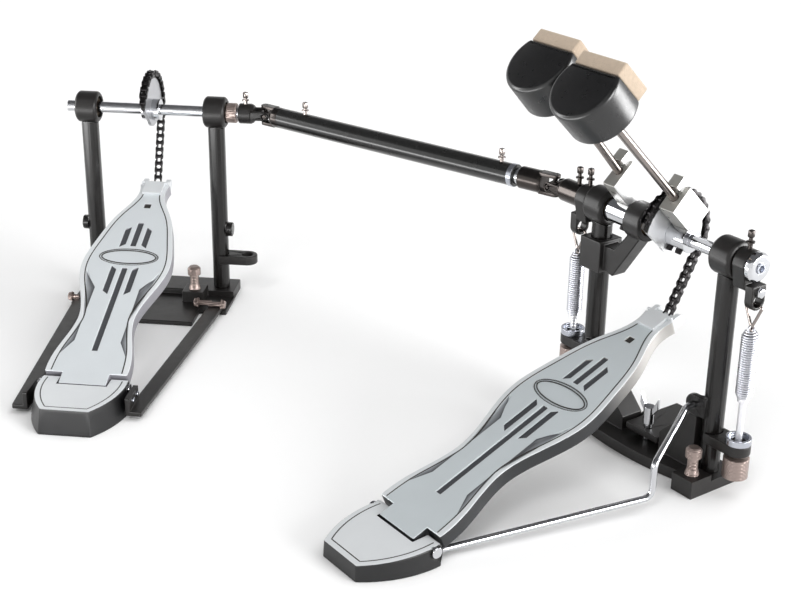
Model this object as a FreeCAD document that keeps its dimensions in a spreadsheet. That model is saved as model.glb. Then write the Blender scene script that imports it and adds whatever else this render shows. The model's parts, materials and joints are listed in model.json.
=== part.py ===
"""Double bass drum pedal: two foot pedals joined by a telescopic drive shaft.

The frame has X to the right along the primary axle, Y towards the drum and Z up, with the origin
on the floor under the primary axle, in the plane of the primary footboard and sprocket.
"""
import FreeCAD, Part
import math
import os
import Sketcher
from FreeCAD import Placement, Rotation, Vector

X_AXIS = Vector(1, 0, 0)
Y_AXIS = Vector(0, 1, 0)
Z_AXIS = Vector(0, 0, 1)

SIZES = {
    # Axles and the fits on them
    "axle_height": 177.5,
    "axle_radius": 5,
    "shaft_clearance": 0.05,
    "seat_clearance": 0.02,
    "side_clearance": 0.5,
    # Where the housings and spring planes stand along the axles
    "right_housing_at": 55.8,
    "centre_housing_at": 30.5,
    "left_housing_at": 73,
    "secondary_housing_at": 58.5,
    "axle_end_gap": 1,
    # Posts, housings and bearings
    "post_width": 15,
    "post_depth": 16,
    "post_wall": 2.5,
    "housing_radius": 14,
    "housing_length": 20,
    "housing_edge": 2,
    "centre_housing_length": 16,
    "bearing_radius": 9.5,
    "bearing_inset": 2,
    # Ears on the primary posts for the radius rods
    "ear_height": 61,
    "ear_reach": 11,
    "ear_radius": 8,
    "ear_thickness": 4,
    # Bosses on the secondary posts
    "boss_height": 66,
    "boss_radius": 6.5,
    "boss_length": 6,
    # Base plates
    "base_thickness": 9,
    "base_margin": 14,
    "base_rear": 14,
    "base_bulge": 12,
    "base_front": 18,
    "tongue_front": 44,
    "tongue_left": 30,
    "tongue_right": 32,
    "tongue_thickness": 4,
    "gusset_height": 52,
    "gusset_low": 20,
    "gusset_length": 40,
    "gusset_thickness": 20,
    "spur_block_width": 20,
    "spur_block_length": 20.5,
    "spur_block_height": 14,
    "spur_block_rear": 32,
    "rear_plate_thickness": 4,
    "rear_plate_half": 48,
    "rear_plate_rear": 77,
    "strap_ear_outer": 73,
    "strap_ear_rear": 48,
    # Spur bolts
    "spur_shank_radius": 3.5,
    "spur_collar_radius": 5.5,
    "spur_waist_radius": 4,
    "spur_head_radius": 6,
    "spur_top": 36,
    "spur_head_length": 8,
    "spur_collar_length": 5,
    "spur_back": 22,
    # Hoop clamp
    "jaw_pivot_at": 14,
    "jaw_boss_radius": 4,
    "jaw_pin_radius": 2,
    "jaw_lug_thickness": 6,
    "jaw_lug_half": 4,
    "jaw_thickness": 5,
    "jaw_half_width": 17,
    "jaw_centre": -4,
    "jaw_rear": 11,
    "hoop_gap": 10,
    "clamp_screw_radius": 3,
    "clamp_screw_at": 4,
    "clamp_barrel_radius": 4.5,
    "clamp_barrel_low": 23,
    "clamp_barrel_top": 37,
    "clamp_wing_half": 9,
    "clamp_wing_thickness": 2.5,
    "clamp_wing_drop": 7,
    "clamp_wing_top": 46,
    # Heel plates
    "heel_rear": 290,
    "heel_rear_half": 19,
    "heel_front_half": 35,
    "heel_swell": 31,
    "heel_swell_at": 268,
    "heel_front_ahead": 4.6,
    "primary_heel_low": 12.6,
    "primary_heel_high": 17,
    "primary_heel_draft": 3,
    "secondary_heel_low": 20.5,
    "secondary_heel_high": 21,
    "secondary_heel_draft": 11,
    "notch_half": 20.5,
    "notch_back": 8.5,
    "hinge_pin_radius": 2.5,
    "hinge_head_radius": 4,
    "hinge_head_length": 2.5,
    # Footboards, measured along the board from the hinge axis
    "primary_hinge_back": 237.1,
    "primary_hinge_height": 12.5,
    "primary_tilt": 22.2,
    "secondary_hinge_back": 237.4,
    "secondary_hinge_height": 15.9,
    "secondary_tilt": 19.6,
    "board_shoulder": 7.5,
    "board_length": 244,
    "board_top": 7,
    "board_thickness": 11,
    "board_wall": 4,
    "board_skin": 4,
    "board_rear_half": 34,
    "board_waist_at": 66,
    "board_waist_half": 24,
    "board_belly_at": 130,
    "board_belly_half": 39,
    "board_slope_at": 200,
    "board_slope_half": 24,
    "board_neck_at": 229,
    "board_neck_half": 12.5,
    "board_toe_half": 14,
    "tongue_half": 19.5,
    "tongue_back": 5,
    "tongue_under": 5,
    "groove_depth": 1.2,
    "stripe_width": 5,
    "stripe_step": 9.5,
    "stripe_gap_rear": 128,
    "stripe_gap_front": 157,
    "badge_at": 142.5,
    "badge_half_width": 26,
    "badge_half_length": 10.5,
    "badge_depth": 0.5,
    "scoop_inset": 4,
    "toe_window_back": 31,
    "toe_window": 6,
    # Toe clips
    "toe_pin_ahead": 7.5,
    "toe_pin_drop": 5,
    "toe_pin_radius": 1.6,
    "toe_pin_half": 12.5,
    "clip_half": 9,
    "clip_back": 15,
    "clip_height": 2.5,
    "lug_thickness": 4,
    "lug_radius": 4.5,
    # Chain and sprockets
    "chain_pitch": 6.35,
    "sprocket_teeth": 32,
    "roller_radius": 1.65,
    "roller_clearance": 0.12,
    "chain_inner_half": 1.65,
    "chain_plate": 0.75,
    "chain_plate_gap": 0.05,
    "chain_plate_half": 2.7,
    "sprocket_thickness": 2.8,
    "tooth_above_pitch": 0.9,
    "sprocket_hub_radius": 15,
    "anchor_angle": 156,
    "sector_overrun": 7,
    "axle_travel": 56.25,
    "hub_radius": 9.5,
    "primary_hub_left": 16,
    "primary_hub_right": 18.5,
    "slave_hub_left": 62.5,
    "slave_hub_right": 39,
    "secondary_hub_half": 8,
    # Beaters and their holders
    "primary_holder_at": 11,
    "slave_holder_at": 49.5,
    "primary_holder_half": 7.2,
    "slave_holder_half": 6,
    "holder_low": 3,
    "holder_top": 33,
    "holder_back": 2.6,
    "holder_ahead": 11,
    "holder_slit": 1.2,
    "primary_rod_offset": 13.6,
    "slave_rod_offset": 16,
    "rod_radius": 3.2,
    "rod_foot": 2,
    "rod_in_head": 22,
    "primary_lean": 45,
    "slave_lean": 41.8,
    "primary_reach": 136,
    "slave_reach": 128.2,
    "head_radius": 26,
    "head_length": 31,
    "head_flat_at": 14.5,
    "head_edge": 3,
    "felt_width": 42,
    "felt_thickness": 10.5,
    "felt_length": 29,
    # Rockers and return springs
    "spring_outset": 25,
    "rocker_hub_radius": 11,
    "rocker_hub_length": 11,
    "rocker_arm_length": 24,
    "rocker_web_under": 12.5,
    "rocker_web": 4.5,
    "rocker_boss_radius": 7,
    "rocker_boss_length": 7,
    "rocker_eye_radius": 4.5,
    "link_wire_radius": 1.1,
    "link_side_gap": 3.4,
    "link_length": 18,
    "link_shank": 6,
    "link_seat_gap": 0.3,
    "coil_radius": 5.2,
    "coil_wire_radius": 0.8,
    "coil_wire_sides": 6,
    "coil_pitch": 2.2,
    "coil_turns": 24,
    "plug_clearance": 0.3,
    "plug_length": 7,
    "adjuster_radius": 2.5,
    "right_bracket_height": 38,
    "left_bracket_height": 58,
    "bracket_thickness": 8,
    "bracket_half": 9.5,
    "swing_clearance": 2.8,
    "cup_radius": 9.5,
    "cup_height": 5,
    "nut_radius": 9.5,
    "nut_crown_radius": 3.4,
    "nut_crown": 2.5,
    "nut_length": 18,
    "nut_gap": 0.75,
    "adjuster_tail": 4,
    "cap_gap": 0.8,
    "cap_radius": 11,
    "cap_length": 5,
    "cap_socket_radius": 4,
    "cap_socket_depth": 3.5,
    # Centre bearing arm
    "arm_block_drop": 25,
    "arm_block_height": 25,
    "arm_block_wall": 3.5,
    "arm_depth": 14,
    "arm_straight": 10,
    "arm_bar": 22,
    # Radius rods of the primary pedal
    "wire_radius": 2.5,
    "wire_bend": 7,
    "wire_heel_at": 28,
    "wire_heel_height": 6.8,
    "wire_heel_hold": 9,
    "wire_heel_straight": 8,
    "wire_knee_back": 66,
    "wire_low": 11,
    "wire_high": 38,
    "wire_outset": 8,
    "wire_ear_hold": 7,
    "wire_ear_straight": 7,
    # Straps of the secondary pedal
    "strap_width": 13,
    "strap_thickness": 4,
    "strap_front_back": 40,
    "strap_front_at": 64,
    "strap_rear_back": 262,
    "strap_plate_length": 26,
    "strap_plate_height": 15,
    "strap_plate_thickness": 4,
    # Secondary pedal, its collar and where it stands
    "secondary_left": 491.4,
    "secondary_behind": 163.4,
    "secondary_turn": 47.5,
    "collar_radius": 8.5,
    "collar_length": 9,
    "collar_at": 69,
    # Drive shaft and its universal joints
    "primary_joint_at": 128.5,
    "secondary_joint_at": 104.2,
    "yoke_radius": 9,
    "yoke_hub_from": 13,
    "slave_yoke_hub_to": 33,
    "secondary_yoke_hub_to": 24,
    "rod_yoke_hub_to": 31,
    "tube_yoke_hub_to": 19,
    "fork_inside": 6,
    "fork_thickness": 3,
    "fork_half_width": 4,
    "cross_half": 3.2,
    "cross_pin_radius": 1.9,
    "open_pivot_clearance": 0.75,
    "tube_radius": 9,
    "tube_gap": 5,
    "inner_rod_radius": 6.4,
    "inner_rod_overlap": 130,
}

doc = FreeCAD.newDocument("double_bass_drum_pedal")


class Size:
    """A length or count together with the sheet expression that gives it."""

    def __init__(self, value, text):
        self.value = float(value)
        self.text = text

    @staticmethod
    def of(other):
        """Turn a plain number into a Size."""
        return other if isinstance(other, Size) else Size(other, repr(float(other)))

    def __add__(self, other):
        other = Size.of(other)
        return Size(self.value + other.value, f"({self.text} + {other.text})")

    __radd__ = __add__

    def __sub__(self, other):
        other = Size.of(other)
        return Size(self.value - other.value, f"({self.text} - {other.text})")

    def __rsub__(self, other):
        return Size.of(other) - self

    def __mul__(self, other):
        other = Size.of(other)
        return Size(self.value * other.value, f"({self.text} * {other.text})")

    __rmul__ = __mul__

    def __truediv__(self, other):
        other = Size.of(other)
        return Size(self.value / other.value, f"({self.text} / {other.text})")

    def __neg__(self):
        return Size(-self.value, f"(-1 * {self.text})")

    def __float__(self):
        return self.value


class Sheet:
    """The driving dimensions, kept in a spreadsheet and read by name."""

    def __init__(self, sizes):
        self.table = doc.addObject("Spreadsheet::Sheet", "Sizes")
        for row, (name, value) in enumerate(sizes.items(), start=1):
            self.table.set(f"A{row}", name)
            self.table.set(f"B{row}", str(value))
            self.table.setAlias(f"B{row}", name)
        doc.recompute()

    def __getattr__(self, name):
        return Size(self.table.get(name), f"Sizes.{name}")


S = Sheet(SIZES)
parts = []


# Helpers that make bound objects


def bind(obj, **sizes):
    """Bind properties of a document object to the sheet."""
    for prop, size in sizes.items():
        obj.setExpression(prop, Size.of(size).text)
    return obj


def place(obj, x, y, z, rotation=None):
    """Put an object at a bound position, with a fixed rotation."""
    obj.Placement = Placement(Vector(float(x), float(y), float(z)), rotation or Rotation())
    for axis, size in zip("xyz", (x, y, z)):
        if isinstance(size, Size):
            obj.setExpression(f"Placement.Base.{axis}", size.text)
    return obj


def cylinder(name, radius, length, at, along=Z_AXIS):
    """A cylinder whose base centre is at a point and which runs along a direction."""
    obj = doc.addObject("Part::Cylinder", name)
    bind(obj, Radius=radius, Height=length)
    return place(obj, *at, Rotation(Z_AXIS, along))


def box(name, size, corner):
    """A box with its low corner at a point."""
    obj = doc.addObject("Part::Box", name)
    bind(obj, Length=size[0], Width=size[1], Height=size[2])
    return place(obj, *corner)


def fuse(name, *shapes):
    """One solid from several."""
    obj = doc.addObject("Part::MultiFuse", name)
    obj.Shapes = list(shapes)
    obj.Refine = True
    return obj


def cut(name, base, *tools):
    """A solid with one or more tools taken away."""
    tool = tools[0] if len(tools) == 1 else fuse(f"{name}_tools", *tools)
    obj = doc.addObject("Part::Cut", name)
    obj.Base = base
    obj.Tool = tool
    obj.Refine = True
    return obj


def group(name, *shapes):
    """Separate solids that share one node."""
    obj = doc.addObject("Part::Compound", name)
    obj.Links = list(shapes)
    return obj


def feature(name, shape):
    """A shape made directly, for wires and chains that no other operation fits."""
    obj = doc.addObject("Part::Feature", name)
    obj.Shape = shape
    return obj


def finish(obj, name, placement=None):
    """Label a finished sub-part, put it in its place and remember it."""
    if placement is not None:
        if any("Placement" in path for path, _ in obj.ExpressionEngine):
            obj = group(f"{name}_set", obj)
        obj.Placement = placement.multiply(obj.Placement)
    obj.Label = name
    parts.append(obj)
    return obj


def new_body(name):
    """An empty body."""
    return doc.addObject("PartDesign::Body", f"{name}_body")


def new_sketch(body, name, plane, lift=0):
    """A sketch on one of a body's origin planes, lifted along the plane's normal."""
    sketch = body.newObject("Sketcher::SketchObject", name)
    support = [item for item in body.Origin.OriginFeatures if item.Role == plane][0]
    sketch.AttachmentSupport = (support, [""])
    sketch.MapMode = "FlatFace"
    if isinstance(lift, Size):
        sketch.AttachmentOffset = Placement(Vector(0, 0, float(lift)), Rotation())
        sketch.setExpression("AttachmentOffset.Base.z", lift.text)
    return sketch


def draw_polygon(sketch, points):
    """Draw a closed outline of straight lines, with every corner bound to the sheet."""
    first = sketch.GeometryCount
    count = len(points)
    corners = [Vector(float(x), float(y), 0) for x, y in points]
    for index in range(count):
        sketch.addGeometry(Part.LineSegment(corners[index], corners[(index + 1) % count]), False)
    for index in range(count):
        after = first + (index + 1) % count
        sketch.addConstraint(Sketcher.Constraint("Coincident", first + index, 2, after, 1))
    for index, point in enumerate(points):
        for kind, size in zip(("DistanceX", "DistanceY"), point):
            number = sketch.addConstraint(Sketcher.Constraint(kind, first + index, 1, float(size)))
            if isinstance(size, Size):
                sketch.setExpression(f"Constraints[{number}]", size.text)


def draw_circle(sketch, radius, x=0, y=0):
    """Draw a circle with a bound radius."""
    circle = Part.Circle(Vector(float(x), float(y), 0), Z_AXIS, float(radius))
    index = sketch.addGeometry(circle, False)
    number = sketch.addConstraint(Sketcher.Constraint("Radius", index, float(radius)))
    sketch.setExpression(f"Constraints[{number}]", Size.of(radius).text)


def draw_ellipse(sketch, half_x, half_y, x=0, y=0):
    """Draw an ellipse with its longer axis along either sketch direction."""
    centre = Vector(float(x), float(y), 0)
    wide = Vector(float(half_x), 0, 0)
    tall = Vector(0, float(half_y), 0)
    if float(half_x) >= float(half_y):
        sketch.addGeometry(Part.Ellipse(centre + wide, centre + tall, centre), False)
    else:
        sketch.addGeometry(Part.Ellipse(centre + tall, centre - wide, centre), False)


def draw_slot(sketch, half_x, half_y, x=0):
    """Draw an oval of two half circles joined by straight sides, longer along the second direction."""
    half, straight = float(half_x), float(half_y) - float(half_x)
    left, right = float(x) - half, float(x) + half
    draw_chain(
        sketch,
        line((right, -straight), (right, straight)),
        arc((right, straight), (x, half_y), (left, straight)),
        line((left, straight), (left, -straight)),
        arc((left, -straight), (x, -float(half_y)), (right, -straight)),
    )


def draw_chain(sketch, *curves):
    """Draw an outline of lines, arcs and splines that already meet end to end."""
    for curve in curves:
        sketch.addGeometry(curve, False)


def line(a, b):
    """A straight edge between two plane points."""
    return Part.LineSegment(Vector(float(a[0]), float(a[1]), 0), Vector(float(b[0]), float(b[1]), 0))


def arc(a, through, b):
    """An arc through three plane points."""
    points = [Vector(float(p[0]), float(p[1]), 0) for p in (a, through, b)]
    return Part.Arc(*points)


def spline(points):
    """A smooth curve through plane points."""
    curve = Part.BSplineCurve()
    curve.interpolate([Vector(float(x), float(y), 0) for x, y in points])
    return curve


def pad(body, sketch, length, both_ways=False, reverse=False):
    """Extrude a sketch by a bound length."""
    obj = body.newObject("PartDesign::Pad", f"{sketch.Name}_pad")
    obj.Profile = sketch
    bind(obj, Length=length)
    obj.Midplane = both_ways
    obj.Reversed = reverse
    return obj


def pocket(body, sketch, depth=None, both_ways=False, reverse=False):
    """Cut a sketch into a body, by a bound depth or right through."""
    obj = body.newObject("PartDesign::Pocket", f"{sketch.Name}_pocket")
    obj.Profile = sketch
    if depth is None:
        obj.Type = "ThroughAll"
    else:
        bind(obj, Length=depth)
    obj.Midplane = both_ways
    obj.Reversed = reverse
    return obj


def turned(name, profile):
    """A turned piece: a profile of (along, radius) corners carried round the X axis."""
    body = new_body(name)
    sketch = new_sketch(body, f"{name}_profile", "XY_Plane")
    draw_polygon(sketch, [(profile[0][0], 0), *profile, (profile[-1][0], 0)])
    spin = body.newObject("PartDesign::Revolution", f"{name}_spin")
    spin.Profile = sketch
    spin.ReferenceAxis = (sketch, ["H_Axis"])
    spin.Angle = 360
    return body


def flare(height, draft):
    """How far a face with a draft angle spreads over a height."""
    spread = float(height) * math.tan(math.radians(float(draft)))
    return Size(spread, f"({height.text} * tan({draft.text} * 1deg))")


def on_circle(radius, degrees):
    """A plane point at an angle on a circle about the origin."""
    angle = math.radians(degrees)
    return float(radius) * math.cos(angle), float(radius) * math.sin(angle)


# The two pedals


class Pedal:
    """One pedal: its name, where it stands, and the sizes in which the two pedals differ."""

    def __init__(self, name, placement, post_places, hinge, heel_sizes, hub_span, axle_span):
        self.name = name
        self.placement = placement
        self.post_places = post_places
        self.hinge_back, self.hinge_height, self.tilt = hinge
        self.heel_low, self.heel_high, self.heel_draft = heel_sizes
        self.hub_span = hub_span
        self.axle_span = axle_span

    def board_placement(self):
        """The footboard's own frame: on the hinge axis, Y up along the board, Z out of its top."""
        at = Vector(0, -float(self.hinge_back), float(self.hinge_height))
        return self.placement.multiply(Placement(at, Rotation(X_AXIS, float(self.tilt))))

    def on_board(self, along, above):
        """Place of a board point in the pedal's frame, as (y, z)."""
        angle = math.radians(float(self.tilt))
        y = -float(self.hinge_back) + float(along) * math.cos(angle) - float(above) * math.sin(angle)
        z = float(self.hinge_height) + float(along) * math.sin(angle) + float(above) * math.cos(angle)
        return y, z

    def toe_pin(self):
        """Centre of the chain's lowest roller, as (y, z) in the pedal's frame."""
        along = S.board_shoulder + S.board_length + S.toe_pin_ahead
        return self.on_board(along, S.board_top - S.toe_pin_drop)


AXLE_LEVEL = Placement(Vector(0, 0, float(S.axle_height)), Rotation())
STAND = Vector(-float(S.secondary_left), -float(S.secondary_behind), 0)

primary = Pedal(
    "primary",
    Placement(),
    (S.right_housing_at, -S.left_housing_at),
    (S.primary_hinge_back, S.primary_hinge_height, S.primary_tilt),
    (S.primary_heel_low, S.primary_heel_high, S.primary_heel_draft),
    (-S.primary_hub_left, S.primary_hub_right),
    (
        -S.centre_housing_at + S.axle_end_gap,
        S.right_housing_at + S.housing_length / 2 + S.side_clearance + S.rocker_hub_length + S.cap_gap,
    ),
)
secondary = Pedal(
    "secondary",
    Placement(STAND, Rotation(Z_AXIS, float(S.secondary_turn))),
    (S.secondary_housing_at, -S.secondary_housing_at),
    (S.secondary_hinge_back, S.secondary_hinge_height, S.secondary_tilt),
    (S.secondary_heel_low, S.secondary_heel_high, S.secondary_heel_draft),
    (-S.secondary_hub_half, S.secondary_hub_half),
    (-S.secondary_housing_at - S.housing_length / 2 - S.collar_length, S.secondary_joint_at - S.yoke_hub_from),
)


def post(name, at, inward):
    """An oval tube from the base plate to the underside of its housing."""
    body = new_body(name)
    outline = new_sketch(body, f"{name}_outline", "XY_Plane", S.base_thickness)
    draw_slot(outline, S.post_width / 2, S.post_depth / 2, at)
    draw_slot(outline, S.post_width / 2 - S.post_wall, S.post_depth / 2 - S.post_wall, at)
    pad(body, outline, S.axle_height - S.base_thickness)
    saddle = new_sketch(body, f"{name}_saddle", "YZ_Plane")
    draw_circle(saddle, S.housing_radius, 0, S.axle_height)
    pocket(body, saddle, both_ways=True)
    if inward:
        ear = new_sketch(body, f"{name}_ear", "XZ_Plane", S.post_depth / 2 - S.post_wall / 2)
        low, high = S.ear_height - S.ear_radius, S.ear_height + S.ear_radius
        hole_at = at + inward * S.ear_reach
        draw_chain(
            ear,
            line((at, low), (hole_at, low)),
            arc((hole_at, low), (hole_at + inward * S.ear_radius, S.ear_height), (hole_at, high)),
            line((hole_at, high), (at, high)),
            line((at, high), (at, low)),
        )
        pad(body, ear, S.ear_thickness)
        hole = new_sketch(body, f"{name}_ear_hole", "XZ_Plane")
        draw_circle(hole, S.wire_radius + S.shaft_clearance, hole_at, S.ear_height)
        pocket(body, hole, both_ways=True)
    return body


def with_boss(body, at, outward):
    """A far pedal's post with the plain boss on its outer side."""
    start = (at + outward * (S.post_width / 2 - S.post_wall / 2), 0, S.boss_height)
    boss = cylinder(f"{body.Name}_boss", S.boss_radius, S.boss_length, start, X_AXIS * outward)
    return fuse(f"{body.Name}_with_boss", body, boss)


def housing(name, at, length):
    """A barrel with rounded rims, bored for its bearing."""
    half = length / 2
    shoulder = S.housing_radius - S.housing_edge
    inner = half - S.housing_edge
    barrel = turned(
        name,
        [(-half, shoulder), (-inner, S.housing_radius), (inner, S.housing_radius), (half, shoulder)],
    )
    place(barrel, at, 0, S.axle_height)
    bore = cylinder(f"{name}_bore", S.bearing_radius, length, (at - half, 0, S.axle_height), X_AXIS)
    return cut(f"{name}_bored", barrel, bore)


def bearing(name, at, length):
    """A bush between a housing and the axle that runs in it."""
    start = (at - length / 2, 0, S.axle_height)
    outer = cylinder(f"{name}_outer", S.bearing_radius, length, start, X_AXIS)
    inner = cylinder(f"{name}_inner", S.axle_radius + S.shaft_clearance, length, start, X_AXIS)
    return cut(name, outer, inner)


def add_stand(pedal):
    """Posts, housings and bearings of one pedal."""
    name = pedal.name
    sides = list(zip(("right", "left"), pedal.post_places))
    inward = (-1, 1) if pedal is primary else (0, 0)
    posts = [post(f"{name}_{side}_post", at, way) for (side, at), way in zip(sides, inward)]
    if pedal is secondary:
        posts = [with_boss(body, at, way) for body, at, way in zip(posts, pedal.post_places, (1, -1))]
    barrels = [housing(f"{name}_{side}_housing", at, S.housing_length) for side, at in sides]
    bush_length = S.housing_length - S.bearing_inset * 2
    bushes = [bearing(f"{name}_{side}_bush", at, bush_length) for side, at in sides]
    if pedal is primary:
        centre_length = S.centre_housing_length - S.bearing_inset * 2
        bushes.append(bearing("centre_bush", -S.centre_housing_at, centre_length))
    finish(group(f"{name}_posts", *posts), f"{name}_posts", pedal.placement)
    finish(group(f"{name}_housings", *barrels), f"{name}_bearing_housings", pedal.placement)
    finish(group(f"{name}_bushes", *bushes), f"{name}_bearings", pedal.placement)


def spur_places(pedal):
    """Centres of the two spur blocks along the axle."""
    return [at - S.spur_block_width / 2 for at in (pedal.post_places[0] + S.base_margin,)] + [
        at + S.spur_block_width / 2 for at in (pedal.post_places[1] - S.base_margin,)
    ]


def add_primary_base():
    """The cast base: plate with hoop tongue, spur blocks, and gussets up to the posts."""
    right = primary.post_places[0] + S.base_margin
    left = primary.post_places[1] - S.base_margin
    body = new_body("primary_base")
    plate = new_sketch(body, "primary_base_outline", "XY_Plane")
    corners = [(right, -S.base_rear), (right, S.base_front), (left, S.base_front), (left, -S.base_rear)]
    middle = ((right + left) / 2, -S.base_rear - S.base_bulge)
    edges = [line(a, b) for a, b in zip(corners, corners[1:])]
    draw_chain(plate, *edges, arc(corners[-1], middle, corners[0]))
    pad(body, plate, S.base_thickness)
    tongue = new_sketch(body, "primary_hoop_tongue", "XY_Plane")
    draw_polygon(
        tongue,
        [
            (-S.tongue_left, 0),
            (S.tongue_right, 0),
            (S.tongue_right, S.tongue_front),
            (-S.tongue_left, S.tongue_front),
        ],
    )
    pad(body, tongue, S.tongue_thickness)
    blocks = new_sketch(body, "primary_spur_blocks", "XY_Plane")
    for centre in spur_places(primary):
        add_block_outline(blocks, centre)
    pad(body, blocks, S.spur_block_height)
    gussets = new_sketch(body, "primary_gussets", "XZ_Plane")
    for at, inward in zip(primary.post_places, (-1, 1)):
        outer = at + inward * (S.post_width / 2)
        inner = outer + inward * S.gusset_length
        shelf = outer + inward * S.post_width / 2
        draw_polygon(
            gussets,
            [
                (outer, S.base_thickness / 2),
                (inner, S.base_thickness / 2),
                (inner, S.gusset_low),
                (shelf, S.gusset_height),
                (outer, S.gusset_height),
            ],
        )
    pad(body, gussets, S.gusset_thickness, both_ways=True)
    span = S.jaw_half_width * 2 + S.side_clearance * 2 + S.jaw_lug_thickness * 2
    lugs = new_sketch(body, "jaw_lugs", "YZ_Plane", S.jaw_centre)
    draw_chain(lugs, *lug_outline(S.jaw_pivot_at, jaw_pivot_height(), S.jaw_lug_half, S.base_thickness / 2))
    pad(body, lugs, span, both_ways=True)
    room = new_sketch(body, "jaw_room", "XY_Plane", S.base_thickness)
    half = S.jaw_half_width + S.side_clearance
    rear, front = -S.base_rear - S.base_bulge, S.base_front
    draw_polygon(
        room,
        [
            (S.jaw_centre - half, rear),
            (S.jaw_centre + half, rear),
            (S.jaw_centre + half, front),
            (S.jaw_centre - half, front),
        ],
    )
    pocket(body, room, S.gusset_height, reverse=True)
    spurs = [
        cylinder(f"primary_spur_hole_{n}", S.spur_shank_radius, S.spur_block_height, (at, -S.spur_back, 0))
        for n, at in enumerate(spur_places(primary))
    ]
    pin_start = (S.jaw_centre - span / 2, S.jaw_pivot_at, jaw_pivot_height())
    pin = cylinder("jaw_pin", S.jaw_pin_radius, span, pin_start, X_AXIS)
    drilled = cut("primary_base_drilled", body, *spurs)
    finish(fuse("primary_base_with_pin", drilled, pin), "primary_base_plate", primary.placement)


def add_block_outline(sketch, centre):
    """One spur block, seen from above."""
    half = S.spur_block_width / 2
    rear = -S.spur_block_rear
    draw_polygon(
        sketch,
        [
            (centre - half, rear),
            (centre + half, rear),
            (centre + half, rear + S.spur_block_length),
            (centre - half, rear + S.spur_block_length),
        ],
    )


def lug_outline(at, height, half, foot):
    """A lug with a round top, seen from the side, as lines and an arc."""
    low_back, low_front = (at - half, foot), (at + half, foot)
    high_back, high_front = (at - half, height), (at + half, height)
    return [
        line(low_back, low_front),
        line(low_front, high_front),
        arc(high_front, (at, height + half), high_back),
        line(high_back, low_back),
    ]


def add_secondary_base():
    """The base of the far pedal: a bar between the posts, a thin rear plate and strap ears."""
    right = secondary.post_places[0] + S.base_margin
    body = new_body("secondary_base")
    bar = new_sketch(body, "secondary_base_bar", "XY_Plane")
    draw_polygon(
        bar,
        [(-right, -S.base_rear), (right, -S.base_rear), (right, S.base_front), (-right, S.base_front)],
    )
    pad(body, bar, S.base_thickness)
    plate = new_sketch(body, "secondary_rear_plate", "XY_Plane")
    half = S.rear_plate_half
    outer = S.strap_ear_outer
    rear = -S.rear_plate_rear
    ear = -S.strap_ear_rear
    front = -S.base_rear / 2
    draw_polygon(
        plate,
        [
            (-half, rear), (half, rear), (half, ear), (outer, ear), (outer, front),
            (-outer, front), (-outer, ear), (-half, ear),
        ],
    )
    pad(body, plate, S.rear_plate_thickness)
    blocks = new_sketch(body, "secondary_spur_blocks", "XY_Plane")
    for side in (-1, 1):
        inset = side * (S.rear_plate_half - S.spur_block_width / 2)
        add_block_outline(blocks, inset)
    pad(body, blocks, S.spur_block_height)
    holes = [
        cylinder(f"secondary_spur_hole_{n}", S.spur_shank_radius, S.spur_block_height, (at, -S.spur_back, 0))
        for n, at in enumerate(secondary_spurs())
    ]
    finish(cut("secondary_base_drilled", body, *holes), "secondary_base_plate", secondary.placement)


def secondary_spurs():
    """Places of the far pedal's spur bolts along its axle."""
    return [side * (S.rear_plate_half - S.spur_block_width / 2) for side in (-1, 1)]


def add_spur_bolts(pedal, places):
    """Knurled bolts that stand in the spur blocks and reach down to the floor."""
    bolts = []
    for number, at in enumerate(places):
        neck = S.spur_top - S.spur_head_length
        bolt = turned(
            f"{pedal.name}_spur_{number}",
            [
                (S.side_clearance, S.spur_shank_radius - S.seat_clearance),
                (S.spur_block_height, S.spur_shank_radius - S.seat_clearance),
                (S.spur_block_height, S.spur_collar_radius),
                (S.spur_block_height + S.spur_collar_length, S.spur_waist_radius),
                (neck, S.spur_waist_radius),
                (neck, S.spur_head_radius),
                (S.spur_top - S.housing_edge, S.spur_head_radius),
                (S.spur_top, S.spur_head_radius - S.housing_edge),
            ],
        )
        place(bolt, at, -S.spur_back, 0, Rotation(X_AXIS, Z_AXIS))
        bolts.append(bolt)
    name = f"{pedal.name}_spur_bolts"
    finish(group(f"{name}_group", *bolts), name, pedal.placement)


def jaw_pivot_height():
    """Height of the hoop jaw's pivot, with its boss just clear of the base."""
    return S.base_thickness + S.side_clearance + S.jaw_boss_radius


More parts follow.
